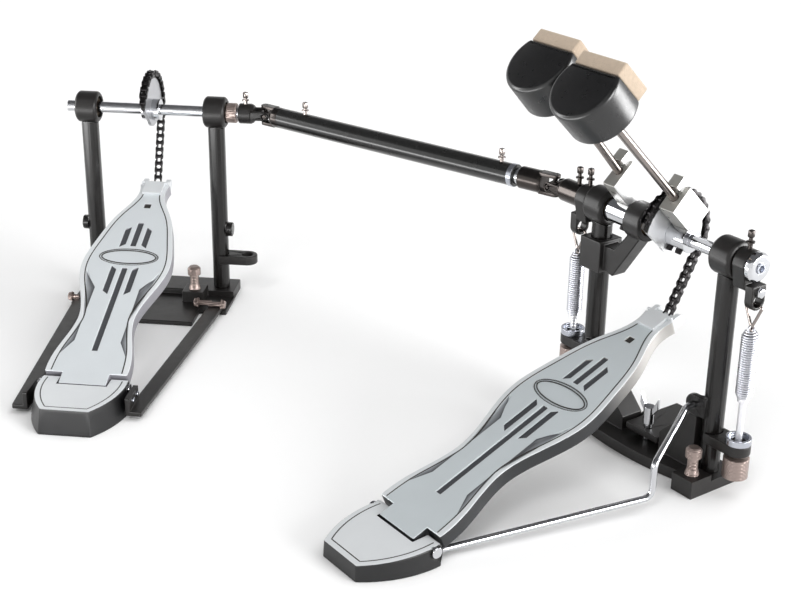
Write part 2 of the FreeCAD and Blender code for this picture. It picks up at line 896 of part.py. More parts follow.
def add_hoop_clamp():
    """The jaw that holds the drum hoop on the base tongue, and the screw that closes it."""
    width = S.jaw_half_width * 2
    under = S.tongue_thickness + S.hoop_gap
    left = S.jaw_centre - S.jaw_half_width
    plate_size = (width, S.tongue_front + S.jaw_rear, S.jaw_thickness)
    plate = box("jaw_plate", plate_size, (left, -S.jaw_rear, under))
    pivot = (left, S.jaw_pivot_at, jaw_pivot_height())
    boss = cylinder("jaw_boss", S.jaw_boss_radius, width, pivot, X_AXIS)
    pin = cylinder("jaw_pin_hole", S.jaw_pin_radius + S.shaft_clearance, width, pivot, X_AXIS)
    screw_at = (S.jaw_centre, -S.clamp_screw_at, under)
    thread = cylinder("jaw_thread", S.clamp_screw_radius + S.shaft_clearance, S.jaw_thickness, screw_at)
    finish(cut("jaw_drilled", fuse("jaw_solid", plate, boss), pin, thread), "hoop_clamp_jaw")
    screw = turned(
        "clamp_screw",
        [
            (S.base_thickness + S.side_clearance, S.clamp_screw_radius),
            (S.clamp_barrel_low, S.clamp_screw_radius),
            (S.clamp_barrel_low, S.clamp_barrel_radius),
            (S.clamp_barrel_top, S.clamp_barrel_radius),
        ],
    )
    place(screw, S.jaw_centre, -S.clamp_screw_at, 0, Rotation(X_AXIS, Z_AXIS))
    wings = new_body("clamp_wings")
    outline = new_sketch(wings, "clamp_wing_outline", "XZ_Plane", S.clamp_screw_at)
    root = S.clamp_barrel_top - S.clamp_wing_drop
    neck = S.clamp_screw_radius
    for side in (-1, 1):
        draw_polygon(
            outline,
            [
                (S.jaw_centre + side * neck, root),
                (S.jaw_centre + side * S.clamp_wing_half, S.clamp_barrel_top),
                (S.jaw_centre + side * S.clamp_wing_half, S.clamp_wing_top),
                (S.jaw_centre + side * neck, S.clamp_barrel_top - S.clamp_wing_thickness),
            ],
        )
    pad(wings, outline, S.clamp_wing_thickness, both_ways=True)
    finish(fuse("clamp_screw_with_wings", screw, wings), "hoop_clamp_screw")


def add_heel(pedal):
    """A heel plate with a notch for the footboard's tongue, and the pin through both."""
    name = pedal.name
    front = -pedal.hinge_back + S.heel_front_ahead
    plan = new_body(f"{name}_heel_plan")
    outline = new_sketch(plan, f"{name}_heel_outline", "XY_Plane", pedal.heel_high)
    rear_left, rear_right = (-S.heel_rear_half, -S.heel_rear), (S.heel_rear_half, -S.heel_rear)
    front_left, front_right = (-S.heel_front_half, front), (S.heel_front_half, front)
    draw_chain(
        outline,
        line(rear_left, rear_right),
        arc(rear_right, (S.heel_swell, -S.heel_swell_at), front_right),
        line(front_right, front_left),
        arc(front_left, (-S.heel_swell, -S.heel_swell_at), rear_left),
    )
    skirt = pad(plan, outline, pedal.heel_high, reverse=True)
    bind(skirt, TaperAngle=pedal.heel_draft)
    side = new_body(f"{name}_heel_side")
    profile = new_sketch(side, f"{name}_heel_profile", "YZ_Plane")
    draw_polygon(
        profile,
        [
            (-S.heel_rear - pedal.heel_high, 0),
            (front, 0),
            (front, pedal.heel_high),
            (-S.heel_rear, pedal.heel_low),
            (-S.heel_rear - pedal.heel_high, pedal.heel_low),
        ],
    )
    pad(side, profile, S.heel_front_half * 4, both_ways=True)
    wedge = doc.addObject("Part::Common", f"{name}_heel_wedge")
    wedge.Base = plan
    wedge.Tool = side
    depth = S.heel_front_ahead + S.notch_back
    notch_corner = (-S.notch_half, -pedal.hinge_back - S.notch_back, 0)
    notch = box(f"{name}_heel_notch", (S.notch_half * 2, depth, pedal.heel_high * 2), notch_corner)
    pin_half = S.heel_front_half
    pin_start = (-pin_half, -pedal.hinge_back, pedal.hinge_height)
    bore = cylinder(f"{name}_heel_bore", S.hinge_pin_radius, pin_half * 2, pin_start, X_AXIS)
    seats = [
        cylinder(
            f"{name}_pin_seat_{number}",
            S.hinge_head_radius + S.side_clearance,
            S.hinge_head_length,
            (way * pin_half, -pedal.hinge_back, pedal.hinge_height),
            X_AXIS * way,
        )
        for number, way in enumerate((-1, 1))
    ]
    tools = [notch, bore, *seats]
    if pedal is primary:
        tools.extend(rod_holes())
    finish(cut(f"{name}_heel", wedge, *tools), f"{name}_heel_plate", pedal.placement)
    head_end = S.heel_front_half + S.hinge_head_length
    pin_radius = S.hinge_pin_radius - S.seat_clearance
    pin = turned(
        f"{name}_pin",
        [
            (-head_end, S.hinge_head_radius),
            (-S.heel_front_half, S.hinge_head_radius),
            (-S.heel_front_half, pin_radius),
            (S.heel_front_half, pin_radius),
            (S.heel_front_half, S.hinge_head_radius),
            (head_end, S.hinge_head_radius),
        ],
    )
    place(pin, 0, -pedal.hinge_back, pedal.hinge_height)
    finish(pin, f"{name}_hinge_pin", pedal.placement)


def rod_holes():
    """Holes in the front of the primary heel plate for the ends of the radius rods."""
    holes = []
    front = -primary.hinge_back + S.heel_front_ahead
    for number, side in enumerate((-1, 1)):
        start = (side * S.wire_heel_at, front - S.wire_heel_hold, S.wire_heel_height)
        radius = S.wire_radius + S.shaft_clearance
        holes.append(cylinder(f"rod_hole_{number}", radius, S.wire_heel_hold, start, Y_AXIS))
    return holes


def board_edge(side, inset):
    """The footboard's side, from shoulder to toe, as plane points."""
    stations = [
        (0, S.board_rear_half),
        (S.board_waist_at * 0.38, S.board_rear_half * 0.94),
        (S.board_waist_at, S.board_waist_half),
        ((S.board_waist_at + S.board_belly_at) / 2, (S.board_waist_half + S.board_belly_half) / 2),
        (S.board_belly_at, S.board_belly_half),
        ((S.board_belly_at + S.board_slope_at) / 2, (S.board_belly_half * 2 + S.board_slope_half) / 3),
        (S.board_slope_at, S.board_slope_half),
        (S.board_neck_at, S.board_neck_half),
        (S.board_length, S.board_toe_half),
    ]
    return [(side * (half - inset), S.board_shoulder + along) for along, half in stations]


def trimmed_edge(side, inset, rear, front):
    """A board edge moved inwards, from just ahead of the shoulder to just behind the toe."""
    points = board_edge(side, inset)
    first, last = points[0], points[-1]
    return [(first[0], first[1] + rear), *points[1:-1], (last[0], last[1] - front)]


def stripe(centre, rear, front, slant):
    """A straight groove with slanted ends, as corner points along the board."""
    half = S.stripe_width / 2
    base = S.board_shoulder
    return [
        (centre - half, base + rear - slant),
        (centre + half, base + rear + slant),
        (centre + half, base + front + slant),
        (centre - half, base + front - slant),
    ]


def scoop(side, rear, middle, front, inner):
    """A three-cornered hollow beside the board's waist, as corner points along the board."""
    base = S.board_shoulder
    outer_rear = S.board_waist_half - S.scoop_inset
    return [
        (side * outer_rear, base + rear),
        (side * inner, base + middle),
        (side * (S.board_belly_half - S.scoop_inset * 2), base + front),
        (side * (outer_rear + S.scoop_inset * 1.5), base + (rear + front) / 2),
    ]


def add_footboard(pedal):
    """A cast footboard, hollow below, with grip grooves, scoops and a bare oval on top."""
    name = pedal.name
    body = new_body(f"{name}_board")
    under = S.board_top - S.board_thickness
    outline = new_sketch(body, f"{name}_board_outline", "XY_Plane", under)
    right, left = board_edge(1, 0), board_edge(-1, 0)
    draw_chain(
        outline,
        spline(right),
        line(right[-1], left[-1]),
        spline(left),
        line(left[0], right[0]),
    )
    pad(body, outline, S.board_thickness)
    tongue = new_sketch(body, f"{name}_board_tongue", "YZ_Plane")
    ahead = S.board_shoulder + S.board_wall
    draw_polygon(
        tongue,
        [
            (ahead, under),
            (0, -S.tongue_under),
            (-S.tongue_back, under + 1),
            (-S.tongue_back, S.board_top),
            (ahead, S.board_top),
        ],
    )
    pad(body, tongue, S.tongue_half * 2, both_ways=True)
    hollow = new_sketch(body, f"{name}_board_hollow", "XY_Plane", under)
    front_wall = S.board_wall * 2
    inner_right = trimmed_edge(1, S.board_wall, S.board_wall, front_wall)
    inner_left = trimmed_edge(-1, S.board_wall, S.board_wall, front_wall)
    draw_chain(
        hollow,
        spline(inner_right),
        line(inner_right[-1], inner_left[-1]),
        spline(inner_left),
        line(inner_left[0], inner_right[0]),
    )
    pocket(body, hollow, S.board_thickness - S.board_skin, reverse=True)
    grooves = new_sketch(body, f"{name}_board_grooves", "XY_Plane", S.board_top)
    side_length = S.stripe_gap_rear * 0.25
    slant = S.stripe_width * 0.4
    for step in (-1, 0, 1):
        long_front = S.stripe_gap_front + side_length * (0.75 if step else 1)
        draw_polygon(grooves, stripe(S.stripe_step * step, S.stripe_gap_front, long_front, -slant * step))
        rear = S.stripe_gap_rear * 0.2 if step == 0 else S.stripe_gap_rear - side_length
        draw_polygon(grooves, stripe(S.stripe_step * step, rear, S.stripe_gap_rear, slant * step))
    for side in (-1, 1):
        middle = (S.board_waist_at + S.board_belly_at) / 2
        inner = S.board_waist_half - S.scoop_inset
        draw_polygon(grooves, scoop(side, S.board_waist_at, middle, S.board_belly_at * 0.94, inner))
    pocket(body, grooves, S.groove_depth)
    badge = new_sketch(body, f"{name}_board_oval", "XY_Plane", S.board_top)
    draw_ellipse(badge, S.badge_half_width, S.badge_half_length, 0, S.board_shoulder + S.badge_at)
    pocket(body, badge, S.badge_depth)
    window = new_sketch(body, f"{name}_board_window", "XY_Plane", S.board_top)
    half = S.toe_window / 2
    at = S.board_shoulder + S.board_length - S.toe_window_back
    draw_polygon(window, [(-half, at - half), (half, at - half), (half, at + half), (-half, at + half)])
    pocket(body, window, S.board_skin)
    pin_start = (-S.tongue_half, 0, 0)
    bore = cylinder(f"{name}_board_bore", S.hinge_pin_radius + S.shaft_clearance, S.tongue_half * 2, pin_start, X_AXIS)
    finish(cut(f"{name}_board_drilled", body, bore), f"{name}_footboard", pedal.board_placement())


def add_toe_clip(pedal):
    """A clip over the toe with two lugs and the pin that holds the chain's last link."""
    name = pedal.name
    toe = S.board_shoulder + S.board_length
    pin_at = toe + S.toe_pin_ahead
    pin_height = S.board_top - S.toe_pin_drop
    cap_size = (S.clip_half * 2, S.clip_back + S.lug_thickness / 2, S.clip_height)
    cap = box(f"{name}_clip_cap", cap_size, (-S.clip_half, toe - S.clip_back, S.board_top))
    face_height = S.board_thickness + S.clip_height
    face_size = (S.toe_pin_half * 2, S.lug_thickness / 2, face_height)
    face = box(f"{name}_clip_face", face_size, (-S.toe_pin_half, toe, S.board_top - S.board_thickness))
    pieces = [cap, face]
    for number, side in enumerate((-1, 1)):
        inner = S.toe_pin_half - S.lug_thickness
        low = inner if side > 0 else -S.toe_pin_half
        ring = cylinder(f"{name}_lug_{number}", S.lug_radius, S.lug_thickness, (low, pin_at, pin_height), X_AXIS)
        web_size = (S.lug_thickness, S.toe_pin_ahead, S.lug_radius * 2)
        web = box(f"{name}_lug_web_{number}", web_size, (low, toe, pin_height - S.lug_radius))
        pieces.extend((ring, web))
    start = (-S.toe_pin_half, pin_at, pin_height)
    pieces.append(cylinder(f"{name}_toe_pin", S.toe_pin_radius, S.toe_pin_half * 2, start, X_AXIS))
    finish(fuse(f"{name}_clip", *pieces), f"{name}_toe_clip", pedal.board_placement())


# Sprockets and chains


def pitch_radius():
    """Radius of the circle that the chain's rollers lie on."""
    return float(S.chain_pitch) / (2 * math.sin(math.pi / float(S.sprocket_teeth)))


def chain_rollers(pedal):
    """Roller centres from the toe pin up and round the sprocket, and how many lie off it.

    Each centre is (y, z) about the axle. The straight run leaves the sprocket at a tangent.
    """
    toe_y, toe_z = pedal.toe_pin()
    down = toe_z - float(S.axle_height)
    radius = pitch_radius()
    reach = math.hypot(toe_y, down)
    tangent_angle = math.degrees(math.atan2(down, toe_y) + math.acos(radius / reach))
    run = math.sqrt(reach * reach - radius * radius)
    top = on_circle(radius, tangent_angle)
    steps = int(run / float(S.chain_pitch))
    rollers = []
    for index in range(steps + 1):
        share = index * float(S.chain_pitch) / run
        rollers.append((toe_y + (top[0] - toe_y) * share, down + (top[1] - down) * share))
    tooth_angle = 360 / float(S.sprocket_teeth)
    left_over = float(S.chain_pitch) * (steps + 1) - run
    angle = tangent_angle + math.degrees(left_over / radius)
    first_angle = angle
    while angle < float(S.anchor_angle):
        rollers.append(on_circle(radius, angle))
        angle += tooth_angle
    return rollers, steps + 1, first_angle


def plate_outline(a, b, half):
    """Corners of a chain plate with blunt ends, from one roller to the next."""
    along = Vector(b[0] - a[0], b[1] - a[1], 0)
    along.normalize()
    across = Vector(-along.y, along.x, 0)
    cut_back = half * math.tan(math.pi / 8)
    start, end = Vector(a[0], a[1], 0), Vector(b[0], b[1], 0)
    corners = []
    for centre, forward, sides in ((start, -1, (-1, 1)), (end, 1, (1, -1))):
        near, far = sides
        corners.append(centre + across * (near * half) + along * (forward * cut_back))
        corners.append(centre + across * (near * cut_back) + along * (forward * half))
        corners.append(centre + across * (far * cut_back) + along * (forward * half))
        corners.append(centre + across * (far * half) + along * (forward * cut_back))
    return corners


def chain_plate(a, b, low, high):
    """One side plate between two rollers, between two distances along the axle."""
    corners = [Vector(low, corner.x, corner.y) for corner in plate_outline(a, b, float(S.chain_plate_half))]
    face = Part.Face(Part.makePolygon([*corners, corners[0]]))
    return face.extrude(Vector(high - low, 0, 0))


def chain_link(a, b, inner):
    """An inner link with its two rollers as one solid, or the two plates of an outer link."""
    near = float(S.chain_inner_half)
    thick = float(S.chain_plate)
    if not inner:
        near += thick + float(S.chain_plate_gap)
    plates = [chain_plate(a, b, near, near + thick), chain_plate(a, b, -near - thick, -near)]
    if not inner:
        return plates
    rollers = [
        Part.makeCylinder(float(S.roller_radius), near * 2, Vector(-near, y, z), X_AXIS) for y, z in (a, b)
    ]
    return [plates[0].fuse([plates[1], *rollers])]


def toe_pin_room(centre):
    """The hole that the toe pin needs in the chain's last link."""
    half = float(S.toe_pin_half)
    radius = float(S.toe_pin_radius + S.shaft_clearance)
    return Part.makeCylinder(radius, half * 2, Vector(-half, *centre), X_AXIS)


def add_chain(pedal):
    """The roller chain in two nodes: the free run that unwinds, and the part that stays on the sprocket."""
    rollers, on_run, _ = chain_rollers(pedal)
    peel = int(float(S.axle_travel) / (360 / float(S.sprocket_teeth))) + 1
    boundary = on_run + peel
    boundary += boundary % 2
    run, wrap = [], []
    for index in range(len(rollers) - 1):
        inner = index % 2 == 1
        links = run if index <= boundary else wrap
        solids = chain_link(rollers[index], rollers[index + 1], inner)
        if index == 0:
            solids = [plate.cut(toe_pin_room(rollers[0])) for plate in solids]
        links.extend(solids)
    for label, solids in (("chain_run", run), ("chain_wrap", wrap)):
        obj = feature(f"{pedal.name}_{label}_links", Part.makeCompound(solids))
        finish(obj, f"{pedal.name}_{label}", pedal.placement.multiply(AXLE_LEVEL))


def add_sprocket(pedal):
    """A toothed sector on the drive hub, with a seat for every roller."""
    name = pedal.name
    _, _, first_angle = chain_rollers(pedal)
    tip = pitch_radius() + float(S.tooth_above_pitch)
    low = first_angle - float(S.sector_overrun)
    high = float(S.anchor_angle) + float(S.sector_overrun)
    body = new_body(f"{name}_sprocket")
    outline = new_sketch(body, f"{name}_sprocket_outline", "YZ_Plane")
    hub_low, hub_high = on_circle(S.sprocket_hub_radius, low - 50), on_circle(S.sprocket_hub_radius, high + 50)
    hub_under = on_circle(S.sprocket_hub_radius, (low + high) / 2 + 180)
    draw_chain(
        outline,
        arc(on_circle(tip, low), on_circle(tip, (low + high) / 2), on_circle(tip, high)),
        line(on_circle(tip, high), hub_high),
        arc(hub_high, hub_under, hub_low),
        line(hub_low, on_circle(tip, low)),
    )
    draw_circle(outline, S.hub_radius + S.seat_clearance)
    pad(body, outline, S.sprocket_thickness, both_ways=True)
    tooth_angle = 360 / float(S.sprocket_teeth)
    seats = int((float(S.anchor_angle) - first_angle) / tooth_angle) + 1
    seat = new_sketch(body, f"{name}_roller_seats", "YZ_Plane")
    for index in range(seats):
        y, z = on_circle(pitch_radius(), first_angle + index * tooth_angle)
        draw_circle(seat, S.roller_radius + S.roller_clearance, y, z)
    pocket(body, seat, both_ways=True)
    finish(body, f"{name}_sprocket", pedal.placement.multiply(AXLE_LEVEL))


# Axles, rockers and beaters


def stepped_axle(name, start, end, hub, tail=()):
    """An axle bar with its drive hub turned on it."""
    profile = [
        (start, S.axle_radius),
        (hub[0], S.axle_radius),
        (hub[0], S.hub_radius),
        (hub[1], S.hub_radius),
        (hub[1], S.axle_radius),
        (end, S.axle_radius),
    ]
    return turned(name, [*profile, *tail])


def add_primary_axle():
    """The driven axle, from the centre bearing out past the rocker to its end cap."""
    start, end = primary.axle_span
    cap_end = end + S.cap_length
    cap = [
        (end, S.cap_radius),
        (cap_end - S.housing_edge, S.cap_radius),
        (cap_end, S.cap_radius - S.housing_edge),
        (cap_end, S.cap_socket_radius),
        (cap_end - S.cap_socket_depth, S.cap_socket_radius),
    ]
    axle = stepped_axle("primary_axle_bar", start, end, primary.hub_span, cap)
    finish(axle, "primary_axle", AXLE_LEVEL)


def add_slave_axle():
    """The axle turned by the drive shaft, from its yoke to the centre bearing."""
    start = -S.primary_joint_at + S.yoke_hub_from
    end = -S.centre_housing_at - S.axle_end_gap
    axle = stepped_axle("slave_axle_bar", start, end, (-S.slave_hub_left, -S.slave_hub_right))
    finish(axle, "slave_axle", AXLE_LEVEL)


def add_secondary_axle():
    """The far pedal's axle with its knurled collar."""
    start, end = secondary.axle_span
    collar_end = S.collar_at + S.collar_length
    collar = [
        (S.collar_at, S.axle_radius),
        (S.collar_at, S.collar_radius),
        (collar_end, S.collar_radius),
        (collar_end, S.axle_radius),
        (end, S.axle_radius),
    ]
    axle = stepped_axle("secondary_axle_bar", start, S.collar_at, secondary.hub_span, collar[1:])
    finish(axle, "secondary_axle", secondary.placement.multiply(AXLE_LEVEL))


def add_holder(name, at, lean, half, offset):
    """A split block seated on the drive hub, which grips a beater rod."""
    width = half * 2
    height = S.holder_top - S.holder_low
    depth = offset + S.holder_ahead - S.holder_back
    block = box(f"{name}_block", (width, depth, height), (-half, S.holder_back, S.holder_low))
    hub_hole = cylinder(f"{name}_hub_hole", S.hub_radius + S.seat_clearance, width, (-half, 0, 0), X_AXIS)
    rod_start = (0, offset, S.holder_low)
    rod_hole = cylinder(f"{name}_rod_hole", S.rod_radius + S.shaft_clearance, height, rod_start)
    slit_corner = (-S.holder_slit / 2, offset, S.holder_top - height / 2)
    slit = box(f"{name}_slit", (S.holder_slit, S.holder_ahead, height / 2), slit_corner)
    obj = cut(f"{name}_cut", block, hub_hole, rod_hole, slit)
    finish(obj, name, beater_frame(at, lean))


def beater_frame(at, lean):
    """The frame of a beater: on the axle, with Z up along the rod."""
    return Placement(Vector(float(at), 0, float(S.axle_height)), Rotation(X_AXIS, float(lean)))


def add_beater(name, at, lean, reach, offset):
    """A beater: rod, plastic head with a flat side, and the felt pad on that side."""
    frame = beater_frame(at, lean)
    rod_length = reach + S.rod_in_head - S.rod_foot
    rod = cylinder(f"{name}_rod_bar", S.rod_radius, rod_length, (0, offset, S.rod_foot))
    finish(rod, f"{name}_rod", frame)
    body = new_body(f"{name}_head")
    outline = new_sketch(body, f"{name}_head_outline", "XY_Plane", reach)
    half_flat = math.sqrt(float(S.head_radius) ** 2 - float(S.head_flat_at) ** 2)
    flat = offset + S.head_flat_at
    right, left = (half_flat, flat), (-half_flat, flat)
    draw_chain(outline, line(right, left), arc(left, (0, offset - S.head_radius), right))
    solid = pad(body, outline, S.head_length)
    doc.recompute()
    rims = [
        f"Edge{number}"
        for number, edge in enumerate(solid.Shape.Edges, start=1)
        if edge.BoundBox.ZLength < 0.01 and edge.BoundBox.YLength > float(S.head_radius)
    ]
    bevel = body.newObject("PartDesign::Chamfer", f"{name}_head_rim")
    bevel.Base = (solid, rims)
    bind(bevel, Size=S.head_edge)
    hole = cylinder(f"{name}_head_hole", S.rod_radius + S.seat_clearance, S.rod_in_head, (0, offset, reach))
    finish(cut(f"{name}_head_bored", body, hole), f"{name}_head", frame)
    felt_corner = (-S.felt_width / 2, flat, reach + (S.head_length - S.felt_length) / 2)
    felt = box(f"{name}_felt_pad", (S.felt_width, S.felt_thickness, S.felt_length), felt_corner)
    finish(felt, f"{name}_felt", frame)


def spring_plane(housing_at, outward):
    """Distance along the axle of a spring, beside its housing."""
    return housing_at + outward * S.spring_outset


def add_rocker(name, housing_at, outward):
    """A hub clamped on the axle, with a web out to the boss that the spring's link hangs from."""
    plane = spring_plane(housing_at, outward)
    hub, boss, drop = S.rocker_hub_radius, S.rocker_boss_radius, S.rocker_arm_length
    hub_start = housing_at + outward * (S.housing_length / 2 + S.side_clearance)
    boss_end = plane + outward * (S.rocker_boss_length / 2)
    boss_start = plane - outward * (S.rocker_boss_length / 2)
    web_foot = S.rocker_web_under + S.rocker_web
    arm_body = new_body(f"{name}_arm")
    arm = new_sketch(arm_body, f"{name}_arm_outline", "YZ_Plane", hub_start)
    draw_chain(
        arm,
        arc((-hub, 0), (0, hub), (hub, 0)),
        line((hub, 0), (boss, -web_foot)),
        line((boss, -web_foot), (-boss, -web_foot)),
        line((-boss, -web_foot), (-hub, 0)),
    )
    pad(arm_body, arm, S.rocker_hub_length, reverse=outward < 0)
    boss_body = new_body(f"{name}_boss")
    ring = new_sketch(boss_body, f"{name}_boss_outline", "YZ_Plane", boss_start)
    draw_chain(
        ring,
        line((-boss, -S.rocker_web_under), (-boss, -drop)),
        arc((-boss, -drop), (0, -drop - boss), (boss, -drop)),
        line((boss, -drop), (boss, -S.rocker_web_under)),
        line((boss, -S.rocker_web_under), (-boss, -S.rocker_web_under)),
    )
    pad(boss_body, ring, S.rocker_boss_length, reverse=outward < 0)
    low, high = sorted((hub_start, boss_end), key=float)
    web = box(f"{name}_web", (high - low, boss * 2, S.rocker_web), (low, -boss, -web_foot))
    way = X_AXIS * outward
    bore = cylinder(f"{name}_bore", S.axle_radius + S.seat_clearance, S.rocker_hub_length, (hub_start, 0, 0), way)
    eye = cylinder(f"{name}_eye", S.rocker_eye_radius, S.rocker_boss_length, (boss_start, 0, -drop), way)
    obj = cut(f"{name}_cut", fuse(f"{name}_solid", arm_body, boss_body, web), bore, eye)
    finish(obj, name, AXLE_LEVEL)


def bent_wire(points, radius, bend):
    """A round wire along straight runs joined by tangent arcs."""
    edges = []
    start = points[0]
    for before, corner, after in zip(points, points[1:], points[2:]):
        back = (before - corner).normalize()
        ahead = (after - corner).normalize()
        half_turn = back.getAngle(ahead) / 2
        length = bend / math.tan(half_turn)
        first, last = corner + back * length, corner + ahead * length
        middle_way = (back + ahead).normalize()
        middle = corner + middle_way * (bend / math.sin(half_turn) - bend)
        edges.append(Part.makeLine(start, first))
        edges.append(Part.Arc(first, middle, last).toShape())
        start = last
    edges.append(Part.makeLine(start, points[-1]))
    return sweep_round(edges, radius)


def sweep_round(edges, radius, sides=0):
    """Carry a circle, or a polygon of some sides in its place, along joined edges."""
    path = Part.Wire(edges)
    first = edges[0]
    begin = first.valueAt(first.FirstParameter)
    way = first.tangentAt(first.FirstParameter)
    if sides:
        out = way.cross(Z_AXIS).normalize() * radius
        turn = 360 / sides
        corners = [begin + Rotation(way, turn * index).multVec(out) for index in range(sides)]
        section = Part.makePolygon([*corners, corners[0]])
    else:
        section = Part.Wire([Part.makeCircle(radius, begin, way)])
    return Part.makeSolid(path.makePipeShell([section], True, False))


def link_drop():
    """Depth below the axle of the link's top bar, at the bottom of the rocker's eye."""
    return S.rocker_arm_length + S.rocker_eye_radius - S.link_wire_radius - S.link_seat_gap


def plug_radius():
    """Radius of the plugs that hold the ends of a coil."""
    return S.coil_radius - S.coil_wire_radius - S.plug_clearance


def add_spring_link(name, housing_at, outward):
    """A triangle of wire through the rocker's eye, with a shank and plug that hold the coil's top."""
    plane = spring_plane(housing_at, outward)
    radius = float(S.link_wire_radius)
    half = float(S.rocker_boss_length / 2 + S.link_side_gap) + radius
    drop = float(S.link_length)
    bar = Vector(0, 0, -float(link_drop()))
    apex, knee = Vector(0, 0, -drop), Vector(-half / 2, 0, -drop / 2)
    corners = [apex, Vector(half, 0, 0), Vector(-half, 0, 0), knee]
    bow = bent_wire([bar + corner for corner in corners], radius, radius * 1.5)
    leg = Part.makeCylinder(radius, knee.distanceToPoint(apex), bar + knee, apex - knee)
    foot = bar + Vector(0, 0, -drop - float(S.link_shank))
    shank = Part.makeCylinder(radius, float(S.link_shank) + radius, foot)
    plug = Part.makeCylinder(float(plug_radius()), float(S.link_shank) / 2, foot)
    obj = feature(f"{name}_wire", bow.fuse([leg, shank, plug]))
    at = Placement(Vector(float(plane), 0, float(S.axle_height)), Rotation())
    finish(obj, name, at)


def coil_points():
    """Places and directions on the coil's centre line, one each half turn."""
    radius, pitch = float(S.coil_radius), float(S.coil_pitch)
    climb = math.atan2(pitch, 2 * math.pi * radius)
    stations = []
    for index in range(int(float(S.coil_turns) * 2) + 1):
        angle = index * math.pi
        at = Vector(radius * math.cos(angle), radius * math.sin(angle), index * pitch / 2)
        level = Vector(-math.sin(angle), math.cos(angle), 0) * math.cos(climb)
        stations.append((at, level + Z_AXIS * math.sin(climb)))
    return stations


def arc_from_tangent(start, way, end):
    """The arc that leaves a point in a direction and reaches another point."""
    chord = end - start
    middle = (start + end) * 0.5
    angle = chord.getAngle(way)
    corner = start + way * (chord.Length / 2 / math.cos(angle))
    sagitta = math.tan(angle / 2) / math.tan(angle)
    return Part.Arc(start, middle + (corner - middle) * sagitta, end).toShape()


def biarc(start, way, end, end_way):
    """Two arcs that join one place and direction to the next."""
    chord = end - start
    both = way + end_way
    a = 2 * (1 - way.dot(end_way))
    b = 2 * chord.dot(both)
    length = (-b + math.sqrt(b * b + 4 * a * chord.dot(chord))) / (2 * a)
    joint = (start + end) * 0.5 + (way - end_way) * (length / 2)
    joint_way = (end - end_way * length - start - way * length).normalize()
    return [arc_from_tangent(start, way, joint), arc_from_tangent(joint, joint_way, end)]


def coil_gap(edges):
    """Least gap between one turn of the coil and the next, measured on points."""
    steps_per_arc, arcs_per_turn = 6, 4
    points = []
    for edge in edges:
        points.extend(edge.discretize(steps_per_arc + 1)[:-1])
    turn = steps_per_arc * arcs_per_turn
    least = min(a.distanceToPoint(b) for i, a in enumerate(points) for b in points[i + turn // 2:i + turn * 2])
    return least - 2 * float(S.coil_wire_radius)


def add_coil(name, housing_at, outward):
    """An extension spring wound as one wire with straight ends."""
    stations = coil_points()
    edges = []
    for (start, way), (end, end_way) in zip(stations, stations[1:]):
        edges.extend(biarc(start, way, end, end_way))
    tail = float(S.coil_wire_radius) * 2
    first, first_way = stations[0]
    last, last_way = stations[-1]
    turns = list(edges)
    edges.insert(0, Part.makeLine(first - first_way * tail, first))
    edges.append(Part.makeLine(last, last + last_way * tail))
    print(f"{name}: least gap between turns {coil_gap(turns):.2f} mm")
    obj = feature(f"{name}_wire", sweep_round(edges, float(S.coil_wire_radius), int(float(S.coil_wire_sides))))
    at = Vector(float(spring_plane(housing_at, outward)), 0, float(coil_foot()))
    finish(obj, name, Placement(at, Rotation()))


def coil_foot():
    """Height of the lowest turn of a coil."""
    apex = S.axle_height - link_drop() - S.link_length - S.link_wire_radius
    return apex - S.coil_wire_radius * 2 - S.coil_pitch * S.coil_turns


def add_adjuster(name, housing_at, outward, height):
    """A threaded rod with a plug that grips the coil, and its knurled nut below the bracket."""
    plane = spring_plane(housing_at, outward)
    nut_top = height - S.bracket_thickness / 2 - S.nut_gap
    nut_foot = nut_top - S.nut_length
    low = nut_foot - S.adjuster_tail
    plug_foot = coil_foot() - S.coil_wire_radius * 2
    rod = turned(
        f"{name}_rod",
        [
            (low, S.adjuster_radius),
            (plug_foot, S.adjuster_radius),
            (plug_foot, plug_radius()),
            (plug_foot + S.plug_length, plug_radius()),
        ],
    )
    upright = Rotation(X_AXIS, Z_AXIS)
    place(rod, plane, 0, 0, upright)
    nut = turned(
        f"{name}_nut_turned",
        [
            (nut_foot, S.nut_radius),
            (nut_top - S.nut_crown, S.nut_radius),
            (nut_top, S.nut_crown_radius),
        ],
    )
    place(nut, plane, 0, 0, upright)
    nut_hole = cylinder(f"{name}_nut_hole", S.adjuster_radius + S.seat_clearance, S.nut_length, (plane, 0, nut_foot))
    finish(group(f"{name}_group", rod, cut(f"{name}_nut", nut, nut_hole)), name)


def bracket(name, post_at, plane, height):
    """An arm that wraps the outer half of a post, drilled where the adjuster hangs."""
    body = new_body(name)
    low = height - S.bracket_thickness / 2
    arm = new_sketch(body, f"{name}_arm", "XY_Plane", low)
    half = S.bracket_half
    outward = 1 if float(plane) > float(post_at) else -1
    draw_chain(
        arm,
        line((post_at, -half), (plane, -half)),
        arc((plane, -half), (plane + outward * half, 0), (plane, half)),
        line((plane, half), (post_at, half)),
        line((post_at, half), (post_at, -half)),
    )
    pad(body, arm, S.bracket_thickness)
    seat = new_sketch(body, f"{name}_post_seat", "XY_Plane", low)
    draw_slot(seat, S.post_width / 2, S.post_depth / 2, post_at)
    pocket(body, seat, S.bracket_thickness, reverse=True)
    eye = new_sketch(body, f"{name}_eye", "XY_Plane", low)
    draw_circle(eye, S.adjuster_radius + S.swing_clearance, plane)
    pocket(body, eye, S.bracket_thickness, reverse=True)
    return body


